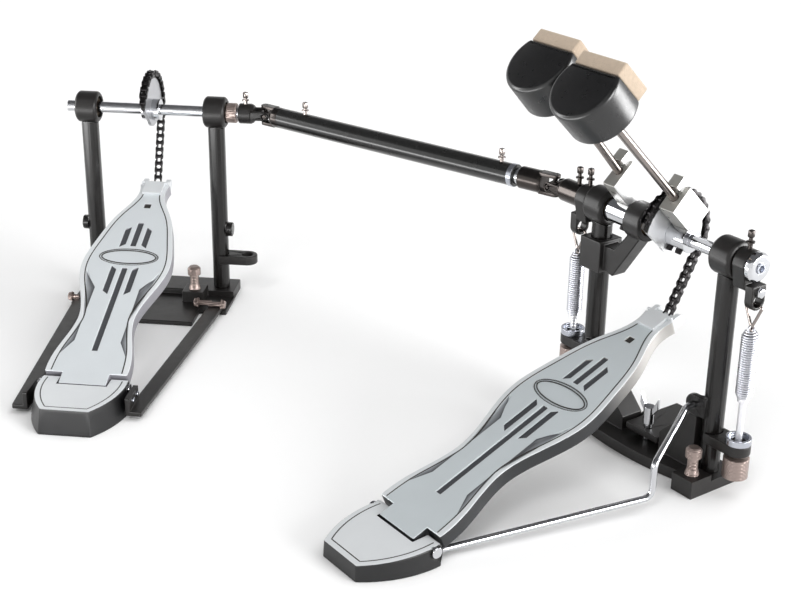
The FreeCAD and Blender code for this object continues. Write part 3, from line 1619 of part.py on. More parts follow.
def cup(name, plane, height):
    """A cup washer on top of a spring bracket."""
    foot = (plane, 0, height + S.bracket_thickness / 2)
    outer = cylinder(f"{name}_outer", S.cup_radius, S.cup_height, foot)
    inner = cylinder(f"{name}_inner", S.adjuster_radius + S.swing_clearance, S.cup_height, foot)
    bowl_foot = (plane, 0, height + S.bracket_thickness / 2 + S.cup_height / 2)
    bowl = cylinder(f"{name}_bowl", S.cup_radius - S.housing_edge, S.cup_height, bowl_foot)
    return cut(name, outer, inner, bowl)


def add_springs():
    """Both return springs with their links, adjusters, brackets and cups."""
    sides = (
        ("right", S.right_housing_at, 1, S.right_bracket_height),
        ("left", -S.left_housing_at, -1, S.left_bracket_height),
    )
    brackets, cups = [], []
    for side, at, outward, height in sides:
        plane = spring_plane(at, outward)
        add_spring_link(f"{side}_spring_link", at, outward)
        add_coil(f"{side}_spring_coil", at, outward)
        add_adjuster(f"{side}_spring_adjuster", at, outward, height)
        brackets.append(bracket(f"{side}_spring_bracket", at, plane, height))
        cups.append(cup(f"{side}_spring_cup", plane, height))
    finish(group("primary_brackets", *brackets), "primary_spring_brackets")
    finish(group("primary_cups", *cups), "primary_spring_cups")
    add_rocker("primary_rocker", S.right_housing_at, 1)
    add_rocker("slave_rocker", -S.left_housing_at, -1)
    bare_at = secondary.post_places[0]
    bare = bracket("bare_bracket", bare_at, spring_plane(bare_at, 1), S.right_bracket_height)
    finish(bare, "secondary_spring_bracket", secondary.placement)


def add_centre_arm():
    """The elbow arm that carries the centre bearing from a clamp block on the left post."""
    at = -S.left_housing_at
    half = S.post_width / 2 + S.arm_block_wall
    deep = S.post_depth / 2 + S.arm_block_wall
    high = S.arm_block_height
    low = S.axle_height - S.arm_block_drop - high
    block = box("arm_block", (half * 2, deep * 2, high), (at - half, -deep, low))
    hole_body = new_body("arm_post_hole")
    hole = new_sketch(hole_body, "arm_post_hole_outline", "XY_Plane", low)
    draw_slot(hole, S.post_width / 2, S.post_depth / 2, at)
    pad(hole_body, hole, high)
    centre = -S.centre_housing_at
    wide = S.centre_housing_length / 2 - S.bearing_inset
    bend = at + half + S.arm_straight
    under_bearing = S.axle_height - S.bearing_radius
    elbow = new_body("arm_elbow")
    profile = new_sketch(elbow, "arm_elbow_profile", "XZ_Plane")
    draw_polygon(
        profile,
        [
            (at + half, low + S.bearing_inset),
            (bend, low),
            (centre + wide, under_bearing),
            (centre - wide, under_bearing),
            (bend, low + S.arm_bar),
            (at + half, low + S.arm_bar),
        ],
    )
    pad(elbow, profile, S.arm_depth, both_ways=True)
    length = S.centre_housing_length
    barrel_start = (centre - length / 2, 0, S.axle_height)
    barrel = cylinder("centre_barrel", S.housing_radius, length, barrel_start, X_AXIS)
    bore = cylinder("centre_bore", S.bearing_radius, length, barrel_start, X_AXIS)
    obj = cut("centre_arm_cut", fuse("centre_arm_solid", block, elbow, barrel), hole_body, bore)
    finish(obj, "primary_centre_arm")


def add_radius_rods():
    """Two bent chrome wires from the heel plate to the ears on the posts."""
    rods = []
    for at, side in zip(primary.post_places, (1, -1)):
        outer = float(at + side * S.wire_outset)
        heel_x, heel_z = side * float(S.wire_heel_at), float(S.wire_heel_height)
        heel_front = float(-primary.hinge_back + S.heel_front_ahead)
        knee_y = -float(S.wire_knee_back)
        ear_x, ear_z = float(at - side * S.ear_reach), float(S.ear_height)
        ear_front = -float(S.post_depth / 2 - S.post_wall / 2 + S.ear_thickness)
        points = [
            Vector(heel_x, heel_front - float(S.wire_heel_hold), heel_z),
            Vector(heel_x, heel_front + float(S.wire_heel_straight), heel_z),
            Vector(outer, knee_y, float(S.wire_low)),
            Vector(outer, knee_y, float(S.wire_high)),
            Vector(ear_x, ear_front - float(S.wire_ear_straight), ear_z),
            Vector(ear_x, ear_front + float(S.wire_ear_hold), ear_z),
        ]
        rods.append(bent_wire(points, float(S.wire_radius), float(S.wire_bend)))
    finish(feature("radius_rod_wires", Part.makeCompound(rods)), "primary_radius_rods")


def add_straps():
    """Two flat straps from the far pedal's base to plates on the sides of its heel."""
    straps = []
    for number, side in enumerate((1, -1)):
        body = new_body(f"strap_{number}")
        bar = new_sketch(body, f"strap_{number}_bar", "XY_Plane", S.rear_plate_thickness)
        half = S.strap_width / 2
        heel = S.heel_front_half + S.side_clearance + flare(secondary.heel_high, secondary.heel_draft)
        rear = -S.strap_rear_back
        front = -S.strap_front_back + half
        draw_polygon(
            bar,
            [
                (side * heel, rear),
                (side * (heel + S.strap_width), rear),
                (side * (S.strap_front_at + half), front),
                (side * (S.strap_front_at - half), front),
            ],
        )
        pad(body, bar, S.strap_thickness)
        plate = new_sketch(body, f"strap_{number}_plate", "XY_Plane", S.rear_plate_thickness)
        draw_polygon(
            plate,
            [
                (side * heel, rear),
                (side * (heel + S.strap_plate_thickness), rear),
                (side * (heel + S.strap_plate_thickness), rear + S.strap_plate_length),
                (side * heel, rear + S.strap_plate_length),
            ],
        )
        pad(body, plate, S.strap_plate_height)
        straps.append(body)
    finish(group("secondary_strap_group", *straps), "secondary_straps", secondary.placement)


# Drive shaft


def joint_centre(pedal):
    """Centre of a pedal's universal joint."""
    at = -S.primary_joint_at if pedal is primary else S.secondary_joint_at
    return pedal.placement.multVec(Vector(float(at), 0, float(S.axle_height)))


def joint_frame(centre, way):
    """A frame at a joint with Z along a horizontal shaft and Y upright."""
    return Placement(centre, Rotation(Vector(), Z_AXIS, way, "ZYX"))


def shaft_frames():
    """Frames at both joints: each with Z pointing along the drive shaft to the other joint."""
    near, far = joint_centre(primary), joint_centre(secondary)
    way = (far - near).normalize()
    return joint_frame(near, way), joint_frame(far, way * -1), (far - near).Length


def add_yoke(name, frame, hub_to, hub_bore, upright, pin_clearance):
    """A yoke: a hub with a tapered neck and two arms that hold one pin of the cross."""
    bar = turned(
        f"{name}_hub",
        [
            (S.yoke_hub_from - S.fork_thickness, S.yoke_radius - S.fork_thickness / 2),
            (S.yoke_hub_from, S.yoke_radius),
            (hub_to, S.yoke_radius),
        ],
    )
    place(bar, 0, 0, 0, Rotation(X_AXIS, Z_AXIS))
    arms = []
    half = S.fork_half_width
    for number, side in enumerate((-1, 1)):
        low = S.fork_inside if side > 0 else -S.fork_inside - S.fork_thickness
        size = (S.fork_thickness, half * 2, S.yoke_hub_from)
        corner = (low, -half, 0)
        if upright:
            size = (half * 2, S.fork_thickness, S.yoke_hub_from)
            corner = (-half, low, 0)
        arms.append(box(f"{name}_arm_{number}", size, corner))
        start = (0, low, 0) if upright else (low, 0, 0)
        way = Y_AXIS if upright else X_AXIS
        arms.append(cylinder(f"{name}_tip_{number}", half, S.fork_thickness, start, way))
    reach = S.fork_inside + S.fork_thickness
    start = (0, -reach, 0) if upright else (-reach, 0, 0)
    way = Y_AXIS if upright else X_AXIS
    pin_hole = cylinder(f"{name}_pin_hole", S.cross_pin_radius + pin_clearance, reach * 2, start, way)
    tools = [pin_hole]
    if hub_bore is not None:
        depth = hub_to - S.yoke_hub_from
        tools.append(cylinder(f"{name}_bore", hub_bore, depth, (0, 0, S.yoke_hub_from)))
    obj = cut(f"{name}_cut", fuse(f"{name}_solid", bar, *arms), *tools)
    finish(obj, name, frame)


def add_cross(name, frame, other_way):
    """The cross of a universal joint: a small block with two pins at right angles."""
    reach = float(S.fork_inside + S.fork_thickness)
    half = S.cross_half
    block = box(f"{name}_block", (half * 2, half * 2, half * 2), (-half, -half, -half))
    radius = S.cross_pin_radius - S.shaft_clearance
    length = S.fork_inside * 2 + S.fork_thickness * 2
    upright = cylinder(f"{name}_upright_pin", radius, length, (0, -length / 2, 0), Y_AXIS)
    level = cylinder(f"{name}_level_pin", radius, length, tuple(other_way * -reach), other_way)
    finish(fuse(f"{name}_solid", block, upright, level), name, frame)


def add_drive_shaft():
    """The telescopic shaft with a universal joint at each end."""
    near, far, length = shaft_frames()
    reach = Size(length, repr(length))
    axle_bore = S.axle_radius + S.seat_clearance
    slave_frame = joint_frame(near.Base, X_AXIS)
    axle_way = secondary.placement.Rotation.multVec(X_AXIS) * -1
    driver_frame = joint_frame(far.Base, axle_way)
    open_room = S.open_pivot_clearance
    add_yoke("slave_yoke", slave_frame, S.slave_yoke_hub_to, axle_bore, False, open_room)
    add_yoke("secondary_yoke", driver_frame, S.secondary_yoke_hub_to, axle_bore, False, open_room)
    rod_bore = S.inner_rod_radius + S.seat_clearance
    add_yoke("shaft_rod_yoke", near, S.rod_yoke_hub_to, rod_bore, True, 0)
    add_yoke("shaft_tube_yoke", far, S.tube_yoke_hub_to, None, True, 0)
    for name, frame, axle_frame in (
        ("primary_joint_cross", near, slave_frame),
        ("secondary_joint_cross", far, driver_frame),
    ):
        level = axle_frame.Rotation.multVec(X_AXIS)
        add_cross(name, frame, frame.Rotation.inverted().multVec(level))
    tube_length = reach - S.tube_yoke_hub_to - S.rod_yoke_hub_to - S.tube_gap
    start = (0, 0, S.tube_yoke_hub_to)
    outer = cylinder("tube_outer", S.tube_radius, tube_length, start)
    bore = cylinder("tube_bore", S.inner_rod_radius + S.shaft_clearance, tube_length, start)
    finish(cut("tube_bored", outer, bore), "shaft_tube", far)
    rod_length = S.rod_yoke_hub_to - S.yoke_hub_from + S.tube_gap + S.inner_rod_overlap
    rod = cylinder("inner_rod_bar", S.inner_rod_radius, rod_length, (0, 0, S.yoke_hub_from))
    finish(rod, "shaft_inner_rod", near)


# Build, check and write


def build():
    """Make every sub-part."""
    for pedal in (primary, secondary):
        add_stand(pedal)
        add_heel(pedal)
        add_footboard(pedal)
        add_toe_clip(pedal)
        add_sprocket(pedal)
        add_chain(pedal)
    add_primary_base()
    add_secondary_base()
    add_spur_bolts(primary, spur_places(primary))
    add_spur_bolts(secondary, secondary_spurs())
    add_hoop_clamp()
    add_primary_axle()
    add_slave_axle()
    add_secondary_axle()
    near_at, near_lean, near_offset = S.primary_holder_at, S.primary_lean, S.primary_rod_offset
    add_holder("primary_beater_holder", near_at, near_lean, S.primary_holder_half, near_offset)
    add_beater("primary_beater", near_at, near_lean, S.primary_reach, near_offset)
    slave_at, slave_lean, slave_offset = -S.slave_holder_at, S.slave_lean, S.slave_rod_offset
    add_holder("slave_beater_holder", slave_at, slave_lean, S.slave_holder_half, slave_offset)
    add_beater("slave_beater", slave_at, slave_lean, S.slave_reach, slave_offset)
    add_springs()
    add_centre_arm()
    add_radius_rods()
    add_straps()
    add_drive_shaft()


def check_and_write():
    """Stop on any failed object or bad shape, then write one file for each sub-part."""
    doc.recompute()
    failed = [obj.Name for obj in doc.Objects if "Invalid" in obj.State or "Error" in obj.State]
    if failed:
        raise RuntimeError(f"objects that failed: {failed}")
    for obj in parts:
        if obj.Shape.isNull() or not obj.Shape.isValid() or not obj.Shape.Solids:
            raise RuntimeError(f"bad shape: {obj.Label}")
    os.makedirs("parts", exist_ok=True)
    for obj in parts:
        obj.Shape.exportStep(f"parts/{obj.Label}.step")


build()
check_and_write()
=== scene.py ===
"""Studio picture of a double bass drum pedal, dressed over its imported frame.

Lengths in this file are millimetres unless a name says metres. Meshes are written in metres, in the
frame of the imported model: X along the main axle, Y forward to the drum, Z up.
"""

import json
import logging
import math
from dataclasses import dataclass
from enum import Enum
from typing import Iterable, Sequence

import bmesh
import bpy
import numpy as np
from mathutils import Matrix

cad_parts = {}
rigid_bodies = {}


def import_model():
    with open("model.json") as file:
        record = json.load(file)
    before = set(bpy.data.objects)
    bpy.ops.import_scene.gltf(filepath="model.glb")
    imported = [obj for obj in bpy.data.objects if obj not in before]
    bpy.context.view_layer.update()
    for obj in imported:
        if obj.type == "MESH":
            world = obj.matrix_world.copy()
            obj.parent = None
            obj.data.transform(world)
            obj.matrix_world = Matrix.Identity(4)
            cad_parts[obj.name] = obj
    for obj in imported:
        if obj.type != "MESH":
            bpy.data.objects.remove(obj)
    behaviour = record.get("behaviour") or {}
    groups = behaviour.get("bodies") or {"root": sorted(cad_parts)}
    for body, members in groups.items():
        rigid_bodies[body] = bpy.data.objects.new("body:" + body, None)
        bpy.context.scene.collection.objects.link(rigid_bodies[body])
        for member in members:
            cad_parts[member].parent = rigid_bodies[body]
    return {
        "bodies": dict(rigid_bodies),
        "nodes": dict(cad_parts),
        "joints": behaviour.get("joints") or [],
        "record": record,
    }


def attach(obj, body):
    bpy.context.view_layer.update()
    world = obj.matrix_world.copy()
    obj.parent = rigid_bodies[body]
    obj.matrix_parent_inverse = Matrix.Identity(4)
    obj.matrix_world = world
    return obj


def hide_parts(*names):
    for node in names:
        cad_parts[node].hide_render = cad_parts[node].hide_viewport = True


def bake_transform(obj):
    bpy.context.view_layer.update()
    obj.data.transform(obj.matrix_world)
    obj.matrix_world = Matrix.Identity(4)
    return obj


log = logging.getLogger("pedal")
Array = np.ndarray
Triple = tuple[float, float, float]
Socket = bpy.types.NodeSocket
Tree = bpy.types.NodeTree
MM = 0.001
TAU = math.tau
SAME_POINT = 1e-6
SHARP_FROM = math.radians(38)
BEVEL_FROM = math.radians(34)
FLAT_WEIGHT = 60
NEARLY_ALONG = 0.9
# Blender's wave texture has one wave in TAU / 20 of its unit
WAVES = TAU / 20
IN_PLACE = np.eye(3)


# Colour and node helpers


def linear(code: str) -> tuple[float, float, float, float]:
    """Turn an sRGB hex colour into linear light.

    Args:
        code: six hex digits after a hash sign.

    Returns:
        Red, green, blue and an alpha of 1.
    """
    raw = np.array([int(code[at : at + 2], 16) for at in (1, 3, 5)]) / 255
    low, high = raw / 12.92, ((raw + 0.055) / 1.055) ** 2.4
    red, green, blue = np.where(raw <= 0.04045, low, high)
    return float(red), float(green), float(blue), 1.0


def add_node(
    tree: Tree,
    kind: str,
    props: dict | None = None,
    inputs: dict | None = None,
    links: dict | None = None,
) -> bpy.types.Node:
    """Add one shader node with its settings and links.

    Args:
        tree: the node tree that takes the node.
        kind: Blender's name of the node type.
        props: settings of the node itself.
        inputs: values of its input sockets, by name or number.
        links: output sockets to connect, by the name or number of the input.

    Returns:
        The new node.
    """
    node = tree.nodes.new(kind)
    for key, value in (props or {}).items():
        setattr(node, key, value)
    for key, value in (inputs or {}).items():
        node.inputs[key].default_value = value
    for key, socket in (links or {}).items():
        tree.links.new(socket, node.inputs[key])
    return node


# Surfaces


def on_circle(angle: Array) -> Array:
    """Points (x, y) at angles on a circle of radius 1."""
    return np.stack([np.cos(angle), np.sin(angle)], axis=-1)


def unit(vectors: Array) -> Array:
    """Rows of an array, each made 1 long."""
    return vectors / np.linalg.norm(vectors, axis=1, keepdims=True)


@dataclass
class Surface:
    """Points and faces of a mesh, before it becomes a Blender object."""

    points: Array
    faces: list[Array]

    def moved(self, turn: Array, shift: Sequence[float]) -> "Surface":
        """Turn the points by a 3 by 3 matrix, then shift them."""
        return Surface(self.points @ np.asarray(turn, float).T + np.asarray(shift, float), self.faces)


def joined(surfaces: Iterable[Surface]) -> Surface:
    """Put several surfaces into one.

    Args:
        surfaces: the surfaces, in order.

    Returns:
        One surface that holds all their points and faces.
    """
    points: list[Array] = []
    faces: list[Array] = []
    count = 0
    for surface in surfaces:
        points.append(surface.points)
        faces.extend(face + count for face in surface.faces)
        count += len(surface.points)
    return Surface(np.concatenate(points), faces)


def grid_faces(rows: int, columns: int, round_rows: bool = False, round_columns: bool = False) -> Array:
    """Four-sided faces of a grid of points stored row by row.

    Args:
        rows: number of rows.
        columns: number of points in a row.
        round_rows: join the last row to the first.
        round_columns: join the last column to the first.

    Returns:
        An array of faces, four point numbers each.
    """
    down = np.arange(rows if round_rows else rows - 1)[:, None]
    across = np.arange(columns if round_columns else columns - 1)[None, :]
    here, below, beside = down * columns, (down + 1) % rows * columns, (across + 1) % columns
    corners = (here + across, here + beside, below + beside, below + across)
    return np.stack(np.broadcast_arrays(*corners), axis=-1).reshape(-1, 4)


def capped(points: Array, rows: int) -> Surface:
    """A surface of equal rings of points, with a flat face on the first and the last.

    Args:
        points: all points, ring after ring.
        rows: number of rings.

    Returns:
        The closed surface.
    """
    ring = np.arange(len(points) // rows)[None]
    last = ring + ring.size * (rows - 1)
    return Surface(points, [grid_faces(rows, ring.size, round_columns=True), ring[:, ::-1], last])


def turned(profile: Sequence[tuple[float, float]], steps: int = 48, bored: bool = False) -> Surface:
    """A turned solid: a profile of (height, radius) carried round Z.

    Args:
        profile: heights and radii from the bottom to the top, or all round the section of a ring.
        steps: points round the axis.
        bored: the profile is a ring's section; otherwise a disc closes each end.

    Returns:
        The closed surface.
    """
    line = np.asarray(profile, float)
    angle = np.arange(steps) * TAU / steps
    ring = on_circle(angle)
    flat = line[:, None, 1:] * ring[None]
    height = np.broadcast_to(line[:, None, :1], (len(line), steps, 1))
    points = np.concatenate([flat, height], axis=-1).reshape(-1, 3)
    if bored:
        return Surface(points, [grid_faces(len(line), steps, round_rows=True, round_columns=True)])
    return capped(points, len(line))


def prism(outline: Array, layers: Sequence[tuple[float, float]]) -> Surface:
    """An outline carried up Z through layers, each moved inwards along the outline's normals.

    Args:
        outline: points of a closed outline in the plane, anticlockwise.
        layers: (inset, height) of each layer from the bottom to the top.

    Returns:
        The closed surface.
    """
    ahead = np.roll(outline, -1, axis=0) - np.roll(outline, 1, axis=0)
    normal = unit(np.stack([-ahead[:, 1], ahead[:, 0]], axis=-1))
    steps = np.asarray(layers, float)
    flat = outline[None] + normal[None] * steps[:, None, :1]
    height = np.broadcast_to(steps[:, None, 1:], (len(steps), len(outline), 1))
    return capped(np.concatenate([flat, height], axis=-1).reshape(-1, 3), len(steps))


def rounded_layers(low: float, high: float, edge: float, steps: int = 3) -> list[tuple[float, float]]:
    """Layers for a prism whose two rims are quarter circles.

    Args:
        low: height of the underside.
        high: height of the top.
        edge: radius of the rims.
        steps: points on each quarter circle.

    Returns:
        (inset, height) of each layer.
    """
    angle = np.linspace(0, math.pi / 2, steps)
    inset, rise = edge * (1 - np.sin(angle)), edge * (1 - np.cos(angle))
    under = [(float(a), low + float(b)) for a, b in zip(inset, rise)]
    over = [(a, high - (b - low)) for a, b in reversed(under)]
    return under + over


def oblong(half_x: float, half_y: float, corner: float, steps: int = 6) -> Array:
    """Outline of a rectangle with round corners, anticlockwise.

    Args:
        half_x: half its width.
        half_y: half its height.
        corner: radius of its corners.
        steps: points on each corner.

    Returns:
        The outline's points.
    """
    angle = np.linspace(0, math.pi / 2, steps)
    quarter = corner * on_circle(angle)
    corners = []
    for number, (x, y) in enumerate(((1, 1), (-1, 1), (-1, -1), (1, -1))):
        spin = number * math.pi / 2
        turn = np.array([[math.cos(spin), -math.sin(spin)], [math.sin(spin), math.cos(spin)]])
        corners.append(quarter @ turn.T + np.array([x * (half_x - corner), y * (half_y - corner)]))
    return np.concatenate(corners)


def tube(path: Array, side: Array, radius: float, sides: int = 12) -> Surface:
    """A round tube along a path.

    The circle lies across the path's tangent: one of its axes is the given side direction with its part
    along the tangent taken out, the other is their cross product.

    Args:
        path: points of the centre line.
        side: a direction across the path, one for all points or one each.
        radius: radius of the tube.
        sides: points round it.

    Returns:
        The surface, closed by a disc at each end.
    """
    tangent = unit(np.gradient(path, axis=0))
    across = np.broadcast_to(side, path.shape).astype(float)
    across = unit(across - tangent * np.sum(across * tangent, axis=1, keepdims=True))
    up = np.cross(tangent, across)
    angle = np.arange(sides) * TAU / sides
    points = path[:, None] + radius * (
        across[:, None] * np.cos(angle)[None, :, None] + up[:, None] * np.sin(angle)[None, :, None]
    )
    return capped(points.reshape(-1, 3), len(path))


def turn_about(axis: Sequence[float], degrees: float) -> Array:
    """A 3 by 3 turn about an axis, by the right-hand rule."""
    return np.array(Matrix.Rotation(math.radians(degrees), 3, axis))


def upright(direction: Sequence[float]) -> Array:
    """A 3 by 3 turn that carries Z onto a direction.

    Args:
        direction: where Z goes.

    Returns:
        The matrix, whose columns are the new X, Y and Z.
    """
    up = np.asarray(direction, float) / np.linalg.norm(direction)
    helper = np.array([0.0, 1.0, 0.0]) if abs(up[1]) < NEARLY_ALONG else np.array([1.0, 0.0, 0.0])
    right = np.cross(helper, up)
    right /= np.linalg.norm(right)
    return np.stack([right, np.cross(up, right), up], axis=1)


def smooth_curve(knots: Array, count: int) -> Array:
    """A natural cubic spline through knots, sampled evenly in its parameter.

    The second derivatives solve the usual three-term equations, with zero at both ends.

    Args:
        knots: points that the curve passes, spaced by their chord lengths.
        count: number of samples.

    Returns:
        Points on the curve.
    """
    span = np.linalg.norm(np.diff(knots, axis=0), axis=1)
    at = np.concatenate([[0], np.cumsum(span)])
    size = len(knots)
    matrix = np.eye(size)
    inner = np.arange(1, size - 1)
    matrix[inner, inner - 1] = span[:-1]
    matrix[inner, inner] = 2 * (span[:-1] + span[1:])
    matrix[inner, inner + 1] = span[1:]
    slope = np.diff(knots, axis=0) / span[:, None]
    right = np.zeros_like(knots)
    right[1:-1] = 6 * np.diff(slope, axis=0)
    bend = np.linalg.solve(matrix, right)
    where = np.linspace(0, at[-1], count)
    piece = np.clip(np.searchsorted(at, where) - 1, 0, size - 2)
    width = span[piece][:, None]
    left, rest = (where - at[piece])[:, None], (at[piece + 1] - where)[:, None]
    cubic = (bend[piece] * rest**3 + bend[piece + 1] * left**3) / (6 * width)
    first = (knots[piece] / width - bend[piece] * width / 6) * rest
    second = (knots[piece + 1] / width - bend[piece + 1] * width / 6) * left
    return cubic + first + second


# Finishes


@dataclass(frozen=True)
class Finish:
    """A surface finish: one shader with a grain, a drift of tone and a drift of gloss."""

    name: str
    colour: str
    metallic: float = 0.0
    roughness: float = 0.5
    specular: float = 0.5
    coat: float = 0.0
    sheen: float = 0.0
    grain_mm: float = 0.8
    grain_depth_mm: float = 0.02
    tone_mm: float = 25.0
    tone: float = 0.12
    gloss_drift: float = 0.08
    least_roughness: float = 0.02
    coat_roughness: float = 0.06

    def paint(self, tree: Tree, place: Socket) -> Socket:
        """Base colour: the finish's own, a little lighter and darker in slow patches.

        Args:
            tree: the material's nodes.
            place: object coordinates.

        Returns:
            A colour socket.
        """
        base = np.array(linear(self.colour)[:3])
        dark, light = (*base * (1 - self.tone), 1), (*np.minimum(base * (1 + self.tone), 1), 1)
        patches = {"Scale": 1 / (self.tone_mm * MM), "Detail": 3}
        drift = add_node(tree, "ShaderNodeTexNoise", inputs=patches, links={"Vector": place})
        ends = {"A": dark, "B": light}
        mix = add_node(tree, "ShaderNodeMix", {"data_type": "RGBA"}, ends, {"Factor": drift.outputs["Fac"]})
        return mix.outputs["Result"]

    def relief(self, tree: Tree, place: Socket) -> Socket:
        """Height of the surface's grain, from 0 to 1."""
        grain = {"Scale": 1 / (self.grain_mm * MM), "Detail": 5}
        return add_node(tree, "ShaderNodeTexNoise", inputs=grain, links={"Vector": place}).outputs["Fac"]

    def build(self) -> bpy.types.Material:
        """Make the material.

        Returns:
            A new material with this finish's nodes.
        """
        material = bpy.data.materials.new(self.name)
        material.use_nodes = True
        tree = material.node_tree
        tree.nodes.clear()
        place = add_node(tree, "ShaderNodeTexCoord").outputs["Object"]
        smears = {"Scale": 3 / (self.tone_mm * MM), "Detail": 3}
        smear = add_node(tree, "ShaderNodeTexNoise", inputs=smears, links={"Vector": place})
        gloss = add_node(
            tree,
            "ShaderNodeMapRange",
            inputs={
                "To Min": max(self.roughness - self.gloss_drift, self.least_roughness),
                "To Max": min(self.roughness + self.gloss_drift, 1),
            },
            links={"Value": smear.outputs["Fac"]},
        )
        bump = add_node(
            tree,
            "ShaderNodeBump",
            inputs={"Distance": self.grain_depth_mm * MM},
            links={"Height": self.relief(tree, place)},
        )
        shader = add_node(
            tree,
            "ShaderNodeBsdfPrincipled",
            inputs={
                "Metallic": self.metallic,
                "Specular IOR Level": self.specular,
                "Coat Weight": self.coat,
                "Coat Roughness": self.coat_roughness,
                "Sheen Weight": self.sheen,
            },
            links={
                "Base Color": self.paint(tree, place),
                "Roughness": gloss.outputs["Result"],
                "Normal": bump.outputs["Normal"],
            },
        )
        add_node(tree, "ShaderNodeOutputMaterial", links={"Surface": shader.outputs["BSDF"]})
        return material


